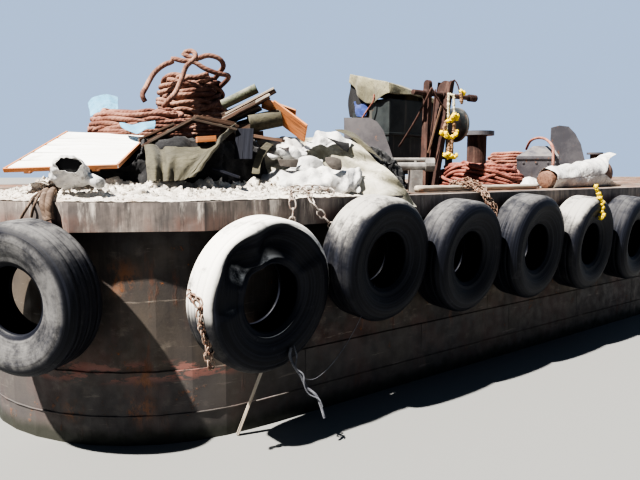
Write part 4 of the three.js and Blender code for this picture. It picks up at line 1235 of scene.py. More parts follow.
# A pale blue sheet under the ropes, and one over the stores behind them.
for name, rows in (
    ("blue_sheet_fore", [
        [(122, 124, 5.72), (134, 126, 5.70), (146, 124, 5.70), (158, 123, 5.74)],
        [(125, 129, 5.62), (136, 132, 5.58), (147, 128, 5.60), (158, 127, 5.66)],
        [(130, 131, 5.56), (139, 136, 5.52), (148, 131, 5.55), (157, 130, 5.62)],
    ]),
    ("blue_sheet_back", [
        [(92, 106, 6.75), (100, 99, 6.75), (112, 97, 6.8), (122, 100, 6.85)],
        [(93, 111, 6.6), (101, 107, 6.6), (112, 106, 6.6), (122, 108, 6.6)],
        [(94, 118, 6.5), (101, 116, 6.5), (112, 116, 6.5), (122, 118, 6.5)],
    ]),
):
    cut_sheet(name, crumpled(spread(rows, 0.02), 0.02, 5, 3.0), blue_sheet)


def rolled(name, start, end, inner, outer, turns, finish):
    """A sheet rolled up on the line from start to end."""
    line = np.array([tuple(start.lerp(end, k / 30)) for k in range(31)])
    along = (end - start).normalized()
    side = Vector((0, 0, 1)).cross(along).normalized()
    up = along.cross(side)
    columns = []
    for k in range(turns * 16 + 1):
        a = 2 * math.pi * k / 16
        r = inner + (outer - inner) * k / (turns * 16)
        columns.append(line + np.array(side * (r * math.cos(a)) + up * (r * math.sin(a))))
    sheet = np.stack(columns, 1)
    cut_sheet(name, sheet, finish, 0.003)


green_canvas = canvas_finish("grey_green_canvas", (0.055, 0.066, 0.042), (0.115, 0.125, 0.085),
                             (0.03, 0.032, 0.022), 0.2)
rolled("green_sheet_roll", sighted(224, 107, 6.10), sighted(258, 91, 6.10), 0.020, 0.054, 3, green_canvas)
rolled("green_sheet_bundle", sighted(250, 125, 5.82), sighted(281, 119, 5.90), 0.030, 0.095, 3,
       olive_canvas)

# Winch cover. The mooring winch stands under a bleached canvas hood that hangs over its upper
# half; below the hood its painted steel case shows, on four legs and two skids.
case_paint, shader, place = new_finish("dark_case_paint", 0.55)
grime = noise(place, 5.0, 7.0, 0.7)
colour = tone(span(grime, 0.36, 0.62), (0.020, 0.025, 0.026), (0.038, 0.045, 0.046))
colour = tone(span(noise(squeeze(place, 9, 9, 1.2), 1.0, 5.0), 0.55, 0.7, 0.0, 0.7), colour,
              (0.13, 0.12, 0.10))
colour = tone(span(noise(place, 12.0, 7.0, 0.72), 0.62, 0.70), colour, (0.20, 0.09, 0.045))
feed(shader, "Base Color", colour)
dent(shader, noise(place, 3.0, 2.0), 0.5, 0.02)
dent(shader, noise(place, 70.0, 5.0, 0.7), 0.3, 0.002)

hood_canvas = canvas_finish("bleached_hood_canvas", (0.115, 0.107, 0.068), (0.24, 0.225, 0.15),
                            (0.055, 0.048, 0.03), 0.12)


def slabs(name, parts, finish, smooth=False):
    """Blocks with eased edges joined as one piece; each part is a size, a place and an edge.
    Each block keeps its own coordinates as an attribute, for grain and wear."""
    points, faces, grain = [], [], []
    for number, (size, place, edge) in enumerate(parts):
        block = bmesh.new()
        bmesh.ops.create_cube(block, size=1.0, matrix=Matrix.Diagonal((*size, 1.0)))
        bmesh.ops.bevel(block, geom=block.edges[:], offset=edge, segments=2, profile=0.6, affect="EDGES")
        base = len(points)
        block.verts.index_update()
        for vertex in block.verts:
            points.append(place @ vertex.co)
            grain.append((vertex.co.x + 3.7 * number, vertex.co.y + 1.9 * number, vertex.co.z))
        faces += [[base + vertex.index for vertex in face.verts] for face in block.faces]
        block.free()
    piece = new_mesh(name, points, faces, finish, smooth)
    keep_vectors(piece.data, "cut", grain)
    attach(piece, "barge")
    return piece


def stood(point, turn=0.0, tilt=0.0, roll=0.0):
    """A place in the barge's frame with turns about Z, then its own X and Y, in degrees."""
    angles = [math.radians(a) for a in (turn, tilt, roll)]
    return (Matrix.Translation(point) @ Matrix.Rotation(angles[0], 4, "Z")
            @ Matrix.Rotation(angles[1], 4, "X") @ Matrix.Rotation(angles[2], 4, "Y"))


GEAR_TURN = math.degrees(math.atan2(0.6, -0.8))
WINCH_AT = on_deck(3.210, 1.650)
CASE_TOP = 1.14
case = [((0.93, 0.72, 0.44), stood(WINCH_AT + Vector((0, 0, CASE_TOP - 0.22))), 0.018),
        ((0.95, 0.74, 0.035), stood(WINCH_AT + Vector((0, 0, 0.70))), 0.008),
        ((0.80, 0.58, 0.50), stood(WINCH_AT + Vector((0, 0, 0.44))), 0.012)]
for dx in (-0.42, 0.42):
    for dy in (-0.31, 0.31):
        case.append(((0.08, 0.08, 0.70), stood(WINCH_AT + Vector((dx, dy, 0.35))), 0.006))
for dy in (-0.31, 0.31):
    case.append(((0.94, 0.10, 0.07), stood(WINCH_AT + Vector((0, dy, 0.04))), 0.006))
winch_case = slabs("winch_case", case, case_paint)
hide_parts("winch_under_cover")

# The warping drum on its pedestal: a hooped barrel, its rim rubbed bright by ropes.
profile = [(0.225, 0.0), (0.25, 0.02), (0.25, 0.06), (0.232, 0.075), (0.205, 0.16), (0.200, 0.38),
           (0.205, 0.60), (0.232, 0.685), (0.25, 0.70), (0.25, 0.74), (0.225, 0.76), (0.05, 0.765)]
drum_end = on_deck(3.690, 1.650, 0.9)
points, faces = [], []
for k in range(40):
    a = 2 * math.pi * k / 40
    for r, along in profile:
        points.append(drum_end + Vector((-along * 0.993, r * math.cos(a), r * math.sin(a))))
count = len(profile)
for k in range(40):
    n = (k + 1) % 40
    for m in range(count - 1):
        faces.append((k * count + m, n * count + m, n * count + m + 1, k * count + m + 1))
faces.append(tuple(k * count for k in range(40)))
faces.append(tuple(k * count + count - 1 for k in reversed(range(40))))
drum_steel, shader, place = new_finish("rope_worn_drum_steel", 0.5, 0.3)
along = axes_of(place)[0]
rim = span(sums("ABSOLUTE", sums("SUBTRACT", along, drum_end.x - 0.72)), 0.035, 0.02)
colour = tone(span(noise(place, 8.0, 7.0, 0.7), 0.4, 0.62), (0.022, 0.026, 0.028), (0.06, 0.062, 0.06))
colour = tone(span(noise(place, 13.0, 7.0, 0.72), 0.57, 0.66), colour, (0.15, 0.07, 0.04))
colour = tone(times(rim, span(noise(place, 6.0), 0.3, 0.5)), colour, (0.20, 0.19, 0.17))
feed(shader, "Base Color", colour)
dent(shader, noise(place, 60.0, 5.0, 0.7), 0.4, 0.002)
drum = new_mesh("winch_drum", points, faces, drum_steel)
foot = [((0.05, 0.10, 0.88), stood(on_deck(s, 1.700, 0.44)), 0.006) for s in (3.80, 4.34)]
foot += [((0.60, 0.11, 0.03), stood(on_deck(4.07, 1.705, 0.016)), 0.005),
         ((0.50, 0.04, 0.10), stood(on_deck(4.07, 1.700, 0.45)), 0.006)]
drum_foot = slabs("winch_drum_pedestal", foot, case_paint)
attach(drum, "barge")

# The hood is one bleached canvas, laid over the winch and tied at its fore corner. Its edge
# hangs in a point on the fore face: corner place as s, t, up, then the drop at and after it.
HOOD = [((2.725, 1.270, 1.315), (0.14, 0.33)), ((2.725, 2.035, 1.515), (0.11, 0.22)),
        ((3.695, 2.035, 1.440), (0.24, 0.28)), ((3.695, 1.270, 1.130), (0.10, 0.05))]
rings = [0.02, 0.2, 0.4, 0.6, 0.8, 0.93, 1.0] + [1 + 0.1 * k for k in range(1, 11)]
edge_points, drops = [], []
for k in range(4):
    (a, (drop, middle)), (b, (after, _)) = HOOD[k], HOOD[(k + 1) % 4]
    for n in range(20):
        share = n / 20
        edge_points.append(on_deck(*a).lerp(on_deck(*b), share))
        level = drop * (1 - share) + after * share
        drops.append(level + (middle - (drop + after) / 2) * math.sin(math.pi * share) ** 1.6)
middle = sum(edge_points, Vector()) / len(edge_points)
grid, flat = [], []
for r in rings:
    row, flat_row = [], []
    for k in range(81):
        edge, drop = edge_points[k % 80], drops[k % 80]
        out = Vector(((edge - middle).xy.normalized()[:]) + (0,))
        hang = max(0.0, r - 1) * drop
        fold = 0.018 * math.sin(k * 0.62) + 0.012 * math.sin(k * 1.37 + 1)
        p = middle.lerp(edge, min(r, 1.0)) + out * (0.012 + min(1.0, hang / 0.12) * (0.02 + fold))
        p.z += -hang - 0.03 * math.sin(math.pi * min(r, 1.0)) + 0.012
        row.append(p[:])
        reach = (edge - middle).length * min(r, 1.0) + hang
        flat_row.append((reach * math.cos(2 * math.pi * k / 80), reach * math.sin(2 * math.pi * k / 80)))
    grid.append(row)
    flat.append(flat_row)
hood = crumpled(np.array(grid), 0.012, 6)
hood[:, -1] = hood[:, 0]
cut_sheet("winch_hood", hood, hood_canvas, 0.004, np.array(flat))
blue_rag = spread([[(353, 104, 8.16), (359, 103, 8.08), (366, 104, 7.98)],
                   [(354, 111, 8.12), (360, 112, 8.02), (367, 112, 7.92)],
                   [(356, 118, 8.10), (361, 119, 8.0), (365, 118, 7.94)]], 0.02)
# A near-black sheet hung down the fore side of the case is painted shade there.
side_sheet = spread([[(350, 81, 8.22), (361, 85, 8.06), (374, 93, 7.86)],
                     [(349, 93, 8.24), (360, 98, 8.06), (373, 104, 7.86)],
                     [(347, 106, 8.26), (359, 110, 8.08), (373, 113, 7.88)],
                     [(349, 119, 8.26), (360, 121, 8.10), (373, 122, 7.90)]], 0.03)
cut_sheet("winch_side_sheet", crumpled(side_sheet, 0.02, 9, 2.0), painted_shade_canvas)
deep_blue = canvas_finish("deep_blue_cloth", (0.015, 0.035, 0.16), (0.03, 0.08, 0.30),
                          (0.01, 0.012, 0.04), 0.1)
cut_sheet("blue_rag", crumpled(blue_rag, 0.025, 2, 4.0), deep_blue)
tie = [(373, 97, 7.80), (372, 104, 7.78), (368, 110, 7.80), (364, 116, 7.84), (361, 121, 7.86)]
tie = bent([sighted(*p) for p in tie], 0.02)
rope_piece("hood_tie", tie, 0.024, ROPE_FINISHES["rope_coil_second"], None)

# Hatch board. Half of an old hatch cover: five white boards side by side in a frame of bare
# orange hardwood, lying across the pile with its near edge down.
white_boards, shader, place = new_finish("chalky_white_boards", 0.7)
grain = stored(shader, "cut")
streak = noise(squeeze(grain, 1.2, 26.0, 6.0), 1.0, 6.0, 0.6)
colour = tone(span(streak, 0.36, 0.62), (0.70, 0.695, 0.66), (0.84, 0.84, 0.82))
colour = tone(span(noise(grain, 3.5, 7.0, 0.7), 0.58, 0.72, 0.0, 0.5), colour, (0.42, 0.37, 0.30))
colour = tone(span(noise(grain, 16.0, 7.0, 0.7), 0.66, 0.72), colour, (0.30, 0.20, 0.13))
feed(shader, "Base Color", colour)
dent(shader, streak, 0.3, 0.002)


def timber_finish(name, base, pale, grey):
    """Bare sawn timber: grain along its own length, greyed and split by sun and salt."""
    finish, shader, place = new_finish(name, 0.8)
    grain = stored(shader, "cut")
    long_grain = noise(squeeze(grain, 2.0, 42.0, 42.0), 1.0, 7.0, 0.6, 0.4)
    colour = tone(span(long_grain, 0.34, 0.64), base, pale)
    colour = tone(span(noise(squeeze(grain, 1.0, 4.0, 4.0), 2.2, 6.0), 0.46, 0.66), colour, grey)
    splits = span(noise(squeeze(grain, 1.6, 60.0, 60.0), 1.0, 4.0, 0.5), 0.62, 0.68)
    colour = tone(times(splits, 0.8), colour, [c * 0.18 for c in base])
    feed(shader, "Base Color", colour)
    dent(shader, long_grain, 0.5, 0.003)
    dent(shader, splits, 0.5, 0.004)
    return finish


orange_wood = timber_finish("bare_orange_hardwood", (0.42, 0.15, 0.055), (0.54, 0.23, 0.095),
                            (0.34, 0.19, 0.12))
brown_wood = timber_finish("dark_brown_timber", (0.075, 0.040, 0.028), (0.13, 0.075, 0.05),
                           (0.10, 0.085, 0.07))
grey_wood = timber_finish("sun_grey_timber", (0.30, 0.25, 0.20), (0.46, 0.41, 0.35), (0.36, 0.34, 0.31))

BOARD = [sighted(*corner) for corner in ((6, 171, 4.88), (119, 167, 4.94), (150, 138, 5.80), (71, 134, 5.80))]
near_left, near_right, far_right, far_left = BOARD


def laid(start, end, wide, thick, tip=0.0, edge=0.003):
    """A plank from one place to another, tipped about its length."""
    along = end - start
    turn = along.to_track_quat("X", "Z").to_matrix().to_4x4()
    spin = Matrix.Rotation(math.radians(tip), 4, "X")
    return (along.length, wide, thick), Matrix.Translation((start + end) / 2) @ turn @ spin, edge


boards = []
for share in (0.1, 0.3, 0.5, 0.7, 0.9):
    boards.append(laid(near_left.lerp(far_left, share), near_right.lerp(far_right, share), 0.186, 0.024, 21))
board = slabs("hatch_board_face", boards, white_boards)
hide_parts("hatch_board")
frame_parts = [laid(near_left, near_right, 0.020, 0.034, 21), laid(near_right, far_right, 0.020, 0.034),
               laid(near_left, far_left, 0.020, 0.034)]
sag = Vector((0, 0, 0.026))
for k in (0.2, 0.8):
    near, far = near_left.lerp(near_right, k), far_left.lerp(far_right, k)
    frame_parts.append(laid(near - sag, far - sag, 0.06, 0.018))
board_frame = slabs("hatch_board_frame", frame_parts, orange_wood)

# Dunnage. Short planks and broken boards kept for chocking, tipped up to the right on the
# pile, with torn orange boards that have slid off them.
def planks_between(name, table, finish):
    """Planks between sighted places, as one piece."""
    piece = slabs(name, [laid(sighted(*a), sighted(*b), *rest) for a, b, *rest in table], finish)
    return piece


stack = planks_between("dunnage_planks", [
    ((223, 124, 5.86), (270, 99, 5.86), 0.17, 0.034), ((226, 120, 6.02), (276, 93, 6.00), 0.16, 0.034),
    ((224, 117, 6.16), (268, 98, 6.16), 0.15, 0.030), ((222, 127, 5.98), (262, 110, 5.98), 0.20, 0.030),
    ((226, 130, 6.10), (270, 118, 6.10), 0.30, 0.034), ((224, 134, 5.94), (262, 128, 5.94), 0.24, 0.060),
    ((226, 139, 6.00), (264, 137, 6.04), 0.34, 0.075), ((254, 137, 5.80), (284, 142, 5.72), 0.09, 0.030),
], brown_wood)
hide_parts("dunnage_stack")
planks_between("dunnage_pale_laths", [
    ((224, 121, 5.80), (271, 97, 5.78), 0.022, 0.024), ((227, 116, 5.94), (275, 91, 5.92), 0.022, 0.020),
    ((232, 127, 5.74), (242, 139, 5.60), 0.05, 0.020)], grey_wood)
planks_between("dunnage_bright_boards",
               [((263, 105, 5.96), (296, 117, 5.86), 0.12, 0.020, -52),
                ((274, 111, 5.92), (306, 135, 5.74), 0.21, 0.018, -58),
                ((198, 141, 5.27), (217, 140, 5.32), 0.10, 0.05, 0)], orange_wood)

# At the foot of the pile: a grey panel on edge and a gutter end, both darkened near black as painted shade,
# and a stick against the hull
painted_shade_panel = timber_finish("panel_timber_painted_shade", (0.014, 0.015, 0.021), (0.028, 0.030, 0.040),
                           (0.022, 0.023, 0.030))
painted_shade_panel.node_tree.nodes["Principled BSDF"].inputs["Specular IOR Level"].default_value = 0.1
planks_between("grey_panel",
               [((246, 130, 5.56), (244, 160, 5.46), 0.165, 0.008),
                ((214, 169, 5.16), (240, 178, 5.12), 0.055, 0.020)], painted_shade_panel)
planks_between("stick_on_hull", [((262, 371, 4.78), (234, 445, 4.80), 0.034, 0.026)], grey_wood)

# Roofing planks on the front of the pile, meeting in a low ridge under the ropes.
planks_between("ridge_planks",
               [((144, 148, 5.26), (196, 121, 5.48), 0.10, 0.022, -14),
                ((148, 144, 5.40), (200, 119, 5.62), 0.10, 0.022, -14),
                ((154, 141, 5.54), (204, 119, 5.76), 0.12, 0.022, -10),
                ((141, 141, 5.50), (176, 126, 5.64), 0.09, 0.020, -8),
                ((194, 121, 5.46), (238, 131, 5.56), 0.09, 0.022, 4),
                ((198, 119, 5.60), (240, 128, 5.70), 0.10, 0.022, 4),
                ((196, 118, 5.72), (236, 125, 5.82), 0.14, 0.022, 2)], brown_wood)

# Painted steel on deck: the sloping casing in worn grey paint, an old door leaf with a cut
# corner in dull mauve, leant on the winch, and two pipes in chalky pale paint.
grey_paint, shader, place = new_finish("worn_grey_paint", 0.55, 0.1)
wear = noise(place, 3.2, 7.0, 0.7)
colour = tone(span(wear, 0.38, 0.62), (0.075, 0.073, 0.085), (0.125, 0.12, 0.13))
colour = tone(span(noise(squeeze(place, 12, 12, 1.4), 1.0, 5.0), 0.56, 0.7, 0.0, 0.6), colour,
              (0.075, 0.06, 0.055))
colour = tone(span(noise(place, 9.0, 7.0, 0.72), 0.60, 0.67), colour, (0.24, 0.105, 0.05))
facing = facing_up(shader)
dust = times(span(facing, 0.2, 0.9), span(noise(place, 6.0, 7.0, 0.7), 0.35, 0.6))
colour = tone(times(dust, 0.6), colour, (0.24, 0.225, 0.21))
feed(shader, "Base Color", colour)
dent(shader, noise(place, 2.2, 2.0), 0.5, 0.02)
dent(shader, noise(place, 70.0, 6.0, 0.7), 0.35, 0.002)
dress(grey_paint, "steel_casing")
plate_paint, shader, place = new_finish("dull_mauve_paint", 0.6, 0.1)
colour = tone(span(noise(place, 3.2, 7.0, 0.7), 0.38, 0.62), (0.046, 0.042, 0.048), (0.080, 0.073, 0.078))
colour = tone(span(noise(place, 9.0, 7.0, 0.72), 0.62, 0.68), colour, (0.14, 0.075, 0.05))
feed(shader, "Base Color", colour)
dent(shader, noise(place, 2.2, 2.0), 0.5, 0.02)
dress(plate_paint, "steel_plate")

pale_paint, shader, place = new_finish("chalky_pale_paint", 0.65)
colour = tone(span(noise(place, 6.0, 7.0, 0.7), 0.38, 0.62), (0.13, 0.122, 0.118), (0.24, 0.23, 0.215))
colour = tone(span(noise(place, 15.0, 7.0, 0.7), 0.58, 0.68), colour, (0.20, 0.12, 0.08))
feed(shader, "Base Color", colour)
dent(shader, noise(place, 50.0, 6.0, 0.7), 0.4, 0.003)
dress(pale_paint, "deck_pipes")

# Casing fittings: an angle on its front, and two rows of four square bolt heads.
straps = [((0.66, 0.03, 0.03), stood(gear_point(3.36, 9.352, 0.425), GEAR_TURN), 0.004)]
for u in (3.14, 3.34, 3.52, 3.64):
    straps += [((0.028, 0.016, 0.028), stood(gear_point(u, 9.347, up), GEAR_TURN), 0.004)
               for up in (0.08, 0.36)]
casing_straps = slabs("casing_straps", straps, grey_paint)

# Timber log. A round baulk along the port edge, wrapped in a white cloth that is open at its
# thick end.
log_start = on_deck(4.790, 0.400, 0.0)
log_step = Vector((-1.50, -0.04, 0.0))


def log_middle(share):
    """The log's axis and radius at a share of its length."""
    radius = 0.115 + 0.085 * share
    return log_start + log_step * share + Vector((0, 0, radius)), radius


log_wood = timber_finish("split_log_timber", (0.13, 0.065, 0.045), (0.22, 0.125, 0.085), (0.16, 0.11, 0.09))
spots = [(0, 0.3), (0.001, 0.94), (0.006, 1.0)]
spots += [(k / 20, 1.0) for k in range(1, 20)] + [(0.994, 1.0), (0.999, 0.94), (1, 0.3)]
points, faces = tube([log_middle(k)[0] for k, r in spots], [log_middle(k)[1] * r for k, r in spots], 36)
timber = new_mesh("timber_log", points, faces, log_wood)
keep_vectors(timber.data, "cut", [p - log_start for p in points])
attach(timber, "barge")
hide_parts("wrapped_log")
cloth, flat = [], []
for share in np.linspace(0.03, 1.15, 70):
    middle, radius = log_middle(share)
    open_to = 1.15 * min(1.0, max(0.0, share - 0.80) / 0.25)
    turns = np.linspace(open_to, 2 * math.pi - open_to * 0.6, 73)[:, None]
    slack = 0.030 + 0.014 * math.sin(7 * share + 1) * math.sin(17 * share) + 0.30 * max(0, share - 1.0)
    circle = np.cos(turns) * np.array((0, 1, 0)) + np.sin(turns) * np.array((0, 0, 1))
    ring = np.array(middle) + (radius + slack) * circle
    ring += 0.012 * np.sin(3 * turns + 9 * share) * np.array((0, 1, 0.5))
    cloth.append(ring)
    flat.append(np.concatenate([np.full_like(turns, share * 1.5), turns * 0.19], 1))
cloth = crumpled(np.array(cloth), 0.018, 41, 3.2)
cloth[..., 2] = np.maximum(cloth[..., 2], DECK + 0.006)
cut_sheet("log_wrapping", cloth, limed_sheet, 0.003, np.array(flat))

# Deck pole. A peeled boat pole of pale wood, a little bent, lying along the port edge.
pole_start = on_deck(2.180, 0.255, 0.038)
spots = []
for k in range(24):
    share = k / 23
    p = pole_start + Vector((-2.30, -0.04, 0)) * share
    spots.append(p + Vector((0, 0.006 * math.sin(9 * share), 0.004 * math.sin(5 * share + 1))))
points, faces = tube(spots, [0.036 - 0.006 * k / 23 + 0.002 * math.sin(2.3 * k) for k in range(24)], 14)
pole = new_mesh("boat_pole", points, faces, grey_wood)
keep_vectors(pole.data, "cut", points)
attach(pole, "barge")
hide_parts("deck_pole")

# Bitts. Two leaning posts burnt from heavy plate, rusted dark red, with a pin rusted fast
# through both. Rods and a lath lean on them, and flower garlands hang on the pin.
red_rust, shader, place = new_finish("dark_red_rust", 0.85)
colour = tone(span(noise(place, 5.0, 7.0, 0.7), 0.38, 0.62), (0.034, 0.017, 0.014), (0.072, 0.034, 0.027))
colour = tone(span(noise(squeeze(place, 14, 14, 2), 1.0, 6.0, 0.65), 0.52, 0.66), colour,
              (0.105, 0.060, 0.047))
colour = tone(span(noise(place, 20.0, 6.0, 0.7), 0.58, 0.68), colour, (0.035, 0.022, 0.020))
feed(shader, "Base Color", colour)
dent(shader, noise(place, 9.0, 5.0, 0.65), 0.6, 0.008)
dent(shader, noise(place, 55.0, 6.0, 0.75), 0.6, 0.004)
dress(red_rust, "bitt_post_a", "bitt_post_b", "bitt_cross_pin")
dress(red_rust, "bollard_fore_port", "bollard_fore_starboard", "bollard_aft_port", "bollard_aft_starboard")
dress(red_rust, "hatch_coaming_fore", "hatch_coaming_middle", "hatch_coaming_aft")

# x at the foot, half its thickness, its width, lean towards the stern, height
POSTS = ((7.422, 0.025, 0.095, 0.03, 1.309), (7.322, 0.032, 0.190, 0.20, 1.328))
PIN_UP = 1.1533
pin_at = on_deck(2.948, 0.779, PIN_UP)
collars, edges = [], []
for x, half, wide, lean, tall in POSTS:
    cross = x - lean * PIN_UP
    for side in (-1, 1):
        at = cross + side * (half + 0.013)
        collars.append(tube([(at - 0.010, pin_at.y, pin_at.z), (at + 0.010, pin_at.y, pin_at.z)], 0.050, 20))
        split_pin = [(at, pin_at.y + way * 0.052, pin_at.z + way * 0.02) for way in (-1, 1)]
        collars.append(tube(split_pin, 0.008, 8))
        if wide > 0.1:
            foot = Vector((x - lean * tall / 2, pin_at.y + side * (wide / 2 + 0.004), DECK + 0.02 + tall / 2))
            skew = Matrix.Shear("XY", 4, (-lean, 0.0))
            edges.append(((2 * half + 0.010, 0.008, tall - 0.06), Matrix.Translation(foot) @ skew, 0.003))
        for end in (-1, 1):
            bolt = Vector((x + end * half * 0.8, pin_at.y + side * (wide * 0.8 - 0.02), DECK + 0.022))
            edges.append(((0.022, 0.022, 0.016), Matrix.Translation(bolt), 0.003))
bitt_collars = joined("bitt_pin_collars", collars, red_rust)
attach(bitt_collars, "barge")
flanges = slabs("bitt_post_flanges", edges, red_rust)

# Rods and a lath lean between the posts; a bent wire stands over the after post.
leaning = []
for spots, radius in (
    ([(429, 91, 7.16), (415, 120, 7.30), (398, 148, 7.46)], 0.013),
    ([(429, 90, 7.16), (436, 102, 7.18), (447, 117, 7.24)], 0.010),
    ([(433, 92, 7.18), (431, 122, 7.22), (428, 154, 7.26)], 0.010),
    ([(446, 98, 7.30), (448, 86, 7.30), (451, 83, 7.30), (455, 89, 7.30), (457, 98, 7.30)], 0.008),
):
    leaning.append(tube(bent([sighted(*p) for p in spots], 0.04), radius, 10))
leaning_bars = joined("bitt_leaning_bars", leaning, red_rust)
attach(leaning_bars, "barge")
lath_wood = timber_finish("rusty_brown_lath", (0.15, 0.085, 0.06), (0.26, 0.17, 0.125), (0.20, 0.14, 0.11))
planks_between("bitt_pale_lath", [((439, 108, 7.14), (427, 154, 7.18), 0.022, 0.012, 60)], lath_wood)


def petal_finish(name, base, pale):
    """Thin petals in two tones, mixed in small flecks."""
    finish, shader, place = new_finish(name, 0.7)
    colour = tone(span(noise(place, 90.0, 3.0, 0.6), 0.38, 0.62), base, pale)
    feed(shader, "Base Color", colour)
    dent(shader, noise(place, 160.0, 3.0, 0.6), 0.7, 0.006)
    return finish


yellow_petals = petal_finish("marigold_petals", (0.80, 0.52, 0.02), (0.95, 0.78, 0.08))
cream_petals = petal_finish("cream_jasmine_petals", (0.62, 0.56, 0.36), (0.80, 0.76, 0.60))
dry_petals = petal_finish("dried_brown_petals", (0.20, 0.11, 0.06), (0.38, 0.24, 0.14))


def blossom_tree():
    """Geometry nodes that thread ruffled flower heads on points, each turned its own way."""
    tree, given = new_growth("threaded_blossoms", Places="Geometry", Across="Float", Seed="Int",
                             Finish="Material")
    head = wire(tree, "GeometryNodeMeshIcoSphere", {"Radius": 0.5, "Subdivisions": 3}).outputs[0]
    at = tree.nodes.new("GeometryNodeInputPosition").outputs[0]
    ruffle = wire(tree, "ShaderNodeTexNoise", {"Vector": at, "Scale": 5.5, "Detail": 2.0}).outputs[0]
    swell = {0: at, 3: sums("SUBTRACT", times(ruffle, 2.2), 1.1)}
    push = wire(tree, "ShaderNodeVectorMath", swell, operation="SCALE").outputs[0]
    head = wire(tree, "GeometryNodeSetPosition", {0: head, "Offset": push}).outputs[0]
    turn = chance_turn(given["Seed"])
    size = times(chance(given["Seed"], 0.8, 1.15), given["Across"])
    spots = wire(tree, "GeometryNodeMeshToPoints", {0: given["Places"]}).outputs[0]
    even = wire(tree, "ShaderNodeCombineXYZ", {0: size, 1: size, 2: size}).outputs[0]
    placed = {0: spots, "Instance": head, "Rotation": turn, "Scale": even}
    return end_growth(tree, wire(tree, "GeometryNodeInstanceOnPoints", placed).outputs[0], given["Finish"])


BLOSSOM_TREE = blossom_tree()


def garland(name, places, across, seed, finish):
    """Flower heads threaded at places, as one piece."""
    piece = grown(line_mesh(name, places), BLOSSOM_TREE, {"Across": across, "Seed": seed, "Finish": finish})
    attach(piece, "barge")


# The garland hangs from the pin at one distance, so its strands are pairs of column and row
PIN_AWAY = 7.08


def strands(*table):
    """Evenly spaced places down some strands; each has a start, an end and a count."""
    places = []
    for start, end, count in table:
        a, b = sighted(*start, PIN_AWAY), sighted(*end, PIN_AWAY)
        places += [a.lerp(b, k / (count - 1)) for k in range(count)]
    return places


cream = strands(((446, 97), (446, 119), 17), ((451, 98), (452, 118), 16), ((446, 97), (451, 98), 4),
                ((445, 126), (445, 134), 6))
garland("garland_cream_strands", cream, 0.026, 3, cream_petals)
MARIGOLDS = (
    (452, 117), (455, 118), (447, 120), (446, 123), (450, 122), (454, 121), (450, 119), (440, 134),
    (442, 136), (445, 137), (448, 139), (451, 138), (454, 136), (455, 133), (449, 142), (444, 135),
    (444, 156), (447, 158), (450, 157), (453, 158), (455, 156), (447, 155), (458, 94), (460, 96),
)
heads = [sighted(*spot, 7.06 + 0.02 * (k % 3)) for k, spot in enumerate(MARIGOLDS)]
garland("garland_marigolds", heads, 0.052, 7, yellow_petals)
dried = strands(((444, 124), (442, 133), 6), ((452, 124), (452, 133), 6), ((450, 142), (450, 155), 9),
                ((448, 142), (447, 153), 7), ((458, 97), (459, 105), 5))
garland("garland_dried", dried, 0.042, 9, dry_petals)

# A short string of the same flowers on the fifth port tyre
FIFTH_TYRE = ((595, 187), (596, 190), (598, 194), (599, 198), (601, 201), (603, 203), (601, 205), (603, 208),
              (602, 212), (604, 215), (602, 218))
garland("garland_on_fifth_tyre", [sighted(*spot, 7.24) for spot in FIFTH_TYRE], 0.05, 13, yellow_petals)
white_rag = spread([[(520, 181, 7.95), (528, 177, 7.95), (536, 180, 7.95)],
                    [(519, 189, 7.82), (527, 187, 7.76), (537, 189, 7.82)]], 0.02)
cut_sheet("white_rag", crumpled(white_rag, 0.03, 7, 5.0), limed_sheet)

# Bollard fittings: a flat round cap on each post, weld beads under the cap and at the foot,
# and six bolts round the foot.
BOLLARDS = ((5.210, 1.890), (5.210, 5.710), (17.540, 0.900), (17.540, 6.700))
beads, caps = [], []
for s, t in BOLLARDS:
    middle = on_deck(s, t)
    for reach, up, thick in ((0.153, 0.786, 0.008), (0.156, 0.026, 0.010)):
        ring = []
        for a in np.linspace(0, 2 * math.pi, 33):
            ring.append(middle + Vector((reach * math.cos(a), reach * math.sin(a), up)))
        beads.append(tube(ring, thick, 6))
    for k in range(6):
        a = math.radians(30 + 60 * k)
        spot = middle + Vector((0.215 * math.cos(a), 0.215 * math.sin(a), 0))
        beads.append(tube([spot + Vector((0, 0, 0.018)), spot + Vector((0, 0, 0.040))], 0.017, 6))
    caps.append(tube([on_deck(s, t, 0.786), on_deck(s, t, 0.853)], 0.2625, 40))
bollard_caps = joined("bollard_caps", caps, grey_paint, False)
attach(bollard_caps, "barge")
bollard_beads = joined("bollard_beads", beads, red_rust)
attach(bollard_beads, "barge")

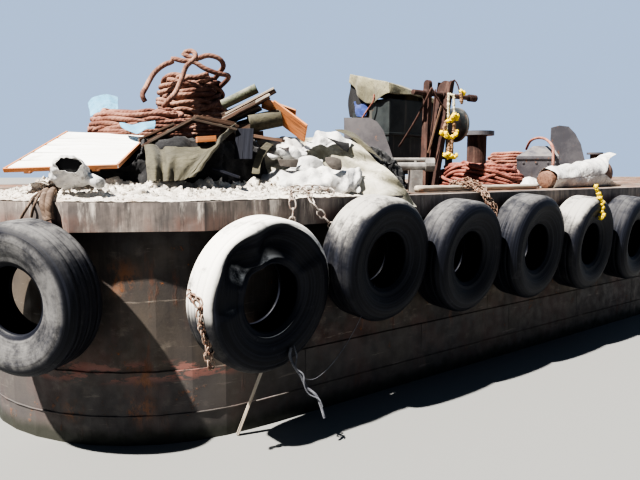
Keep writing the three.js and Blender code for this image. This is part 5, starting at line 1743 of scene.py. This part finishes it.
# Tank hatches. Low coamings, each with a flat lid on two hinges at its port edge and a grip at
# the other. Each lid opens to port.
lid_paint, shader, place = new_finish("trodden_lid_paint", 0.65)
colour = tone(span(noise(place, 4.0, 7.0, 0.7), 0.38, 0.62), (0.14, 0.125, 0.11), (0.24, 0.215, 0.19))
colour = tone(span(noise(place, 8.0, 7.0, 0.72), 0.56, 0.66), colour, (0.22, 0.09, 0.045))
feed(shader, "Base Color", colour)
dent(shader, noise(place, 60.0, 6.0, 0.7), 0.4, 0.003)
dress(lid_paint, "hatch_lid_fore", "hatch_lid_middle", "hatch_lid_aft")

# Studio floor and light. The floor lies at the waterline, because the barge is afloat.
WATERLINE = 0.53
FLOOR = 200.0
floor_finish, shader, place = new_finish("studio_floor", 0.9)
shader.inputs["Base Color"].default_value = (0.19, 0.193, 0.19, 1)
corners = [(-FLOOR, -FLOOR), (FLOOR, -FLOOR), (FLOOR, FLOOR), (-FLOOR, FLOOR)]
floor = new_mesh("floor", [(x, y, WATERLINE) for x, y in corners], [(0, 1, 2, 3)], floor_finish, False)
floor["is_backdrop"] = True

# The sky is brighter behind the barge than over the boat that it is seen from.
bpy.context.scene.view_settings.look = "AgX - High Contrast"
world = bpy.context.scene.world or bpy.data.worlds.new("world")
bpy.context.scene.world = world
world.use_nodes = True
tree = world.node_tree
sky = tree.nodes["Background"]
sky.inputs[0].default_value = (0.52, 0.70, 1.0, 1)
aim = {0: tree.nodes.new("ShaderNodeTexCoord").outputs["Generated"], 1: INTO_GEAR}
toward = wire(tree, "ShaderNodeVectorMath", aim, operation="DOT_PRODUCT").outputs[1]
tree.links.new(span(toward, -0.2, 0.75, 0.18, 0.80), sky.inputs[1])

sun = bpy.data.objects.new("key", bpy.data.lights.new("key", "SUN"))
sun.data.energy = 14.0
sun.data.color = (1.0, 0.95, 0.87)
sun.data.angle = math.radians(1.2)
sun.rotation_euler = Vector((-0.560, 0.005, -0.829)).to_track_quat("-Z", "Y").to_euler()
bpy.context.collection.objects.link(sun)

cad, visual = ([list(map(float, c)) for c in box] for box in (cad_bounds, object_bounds()))
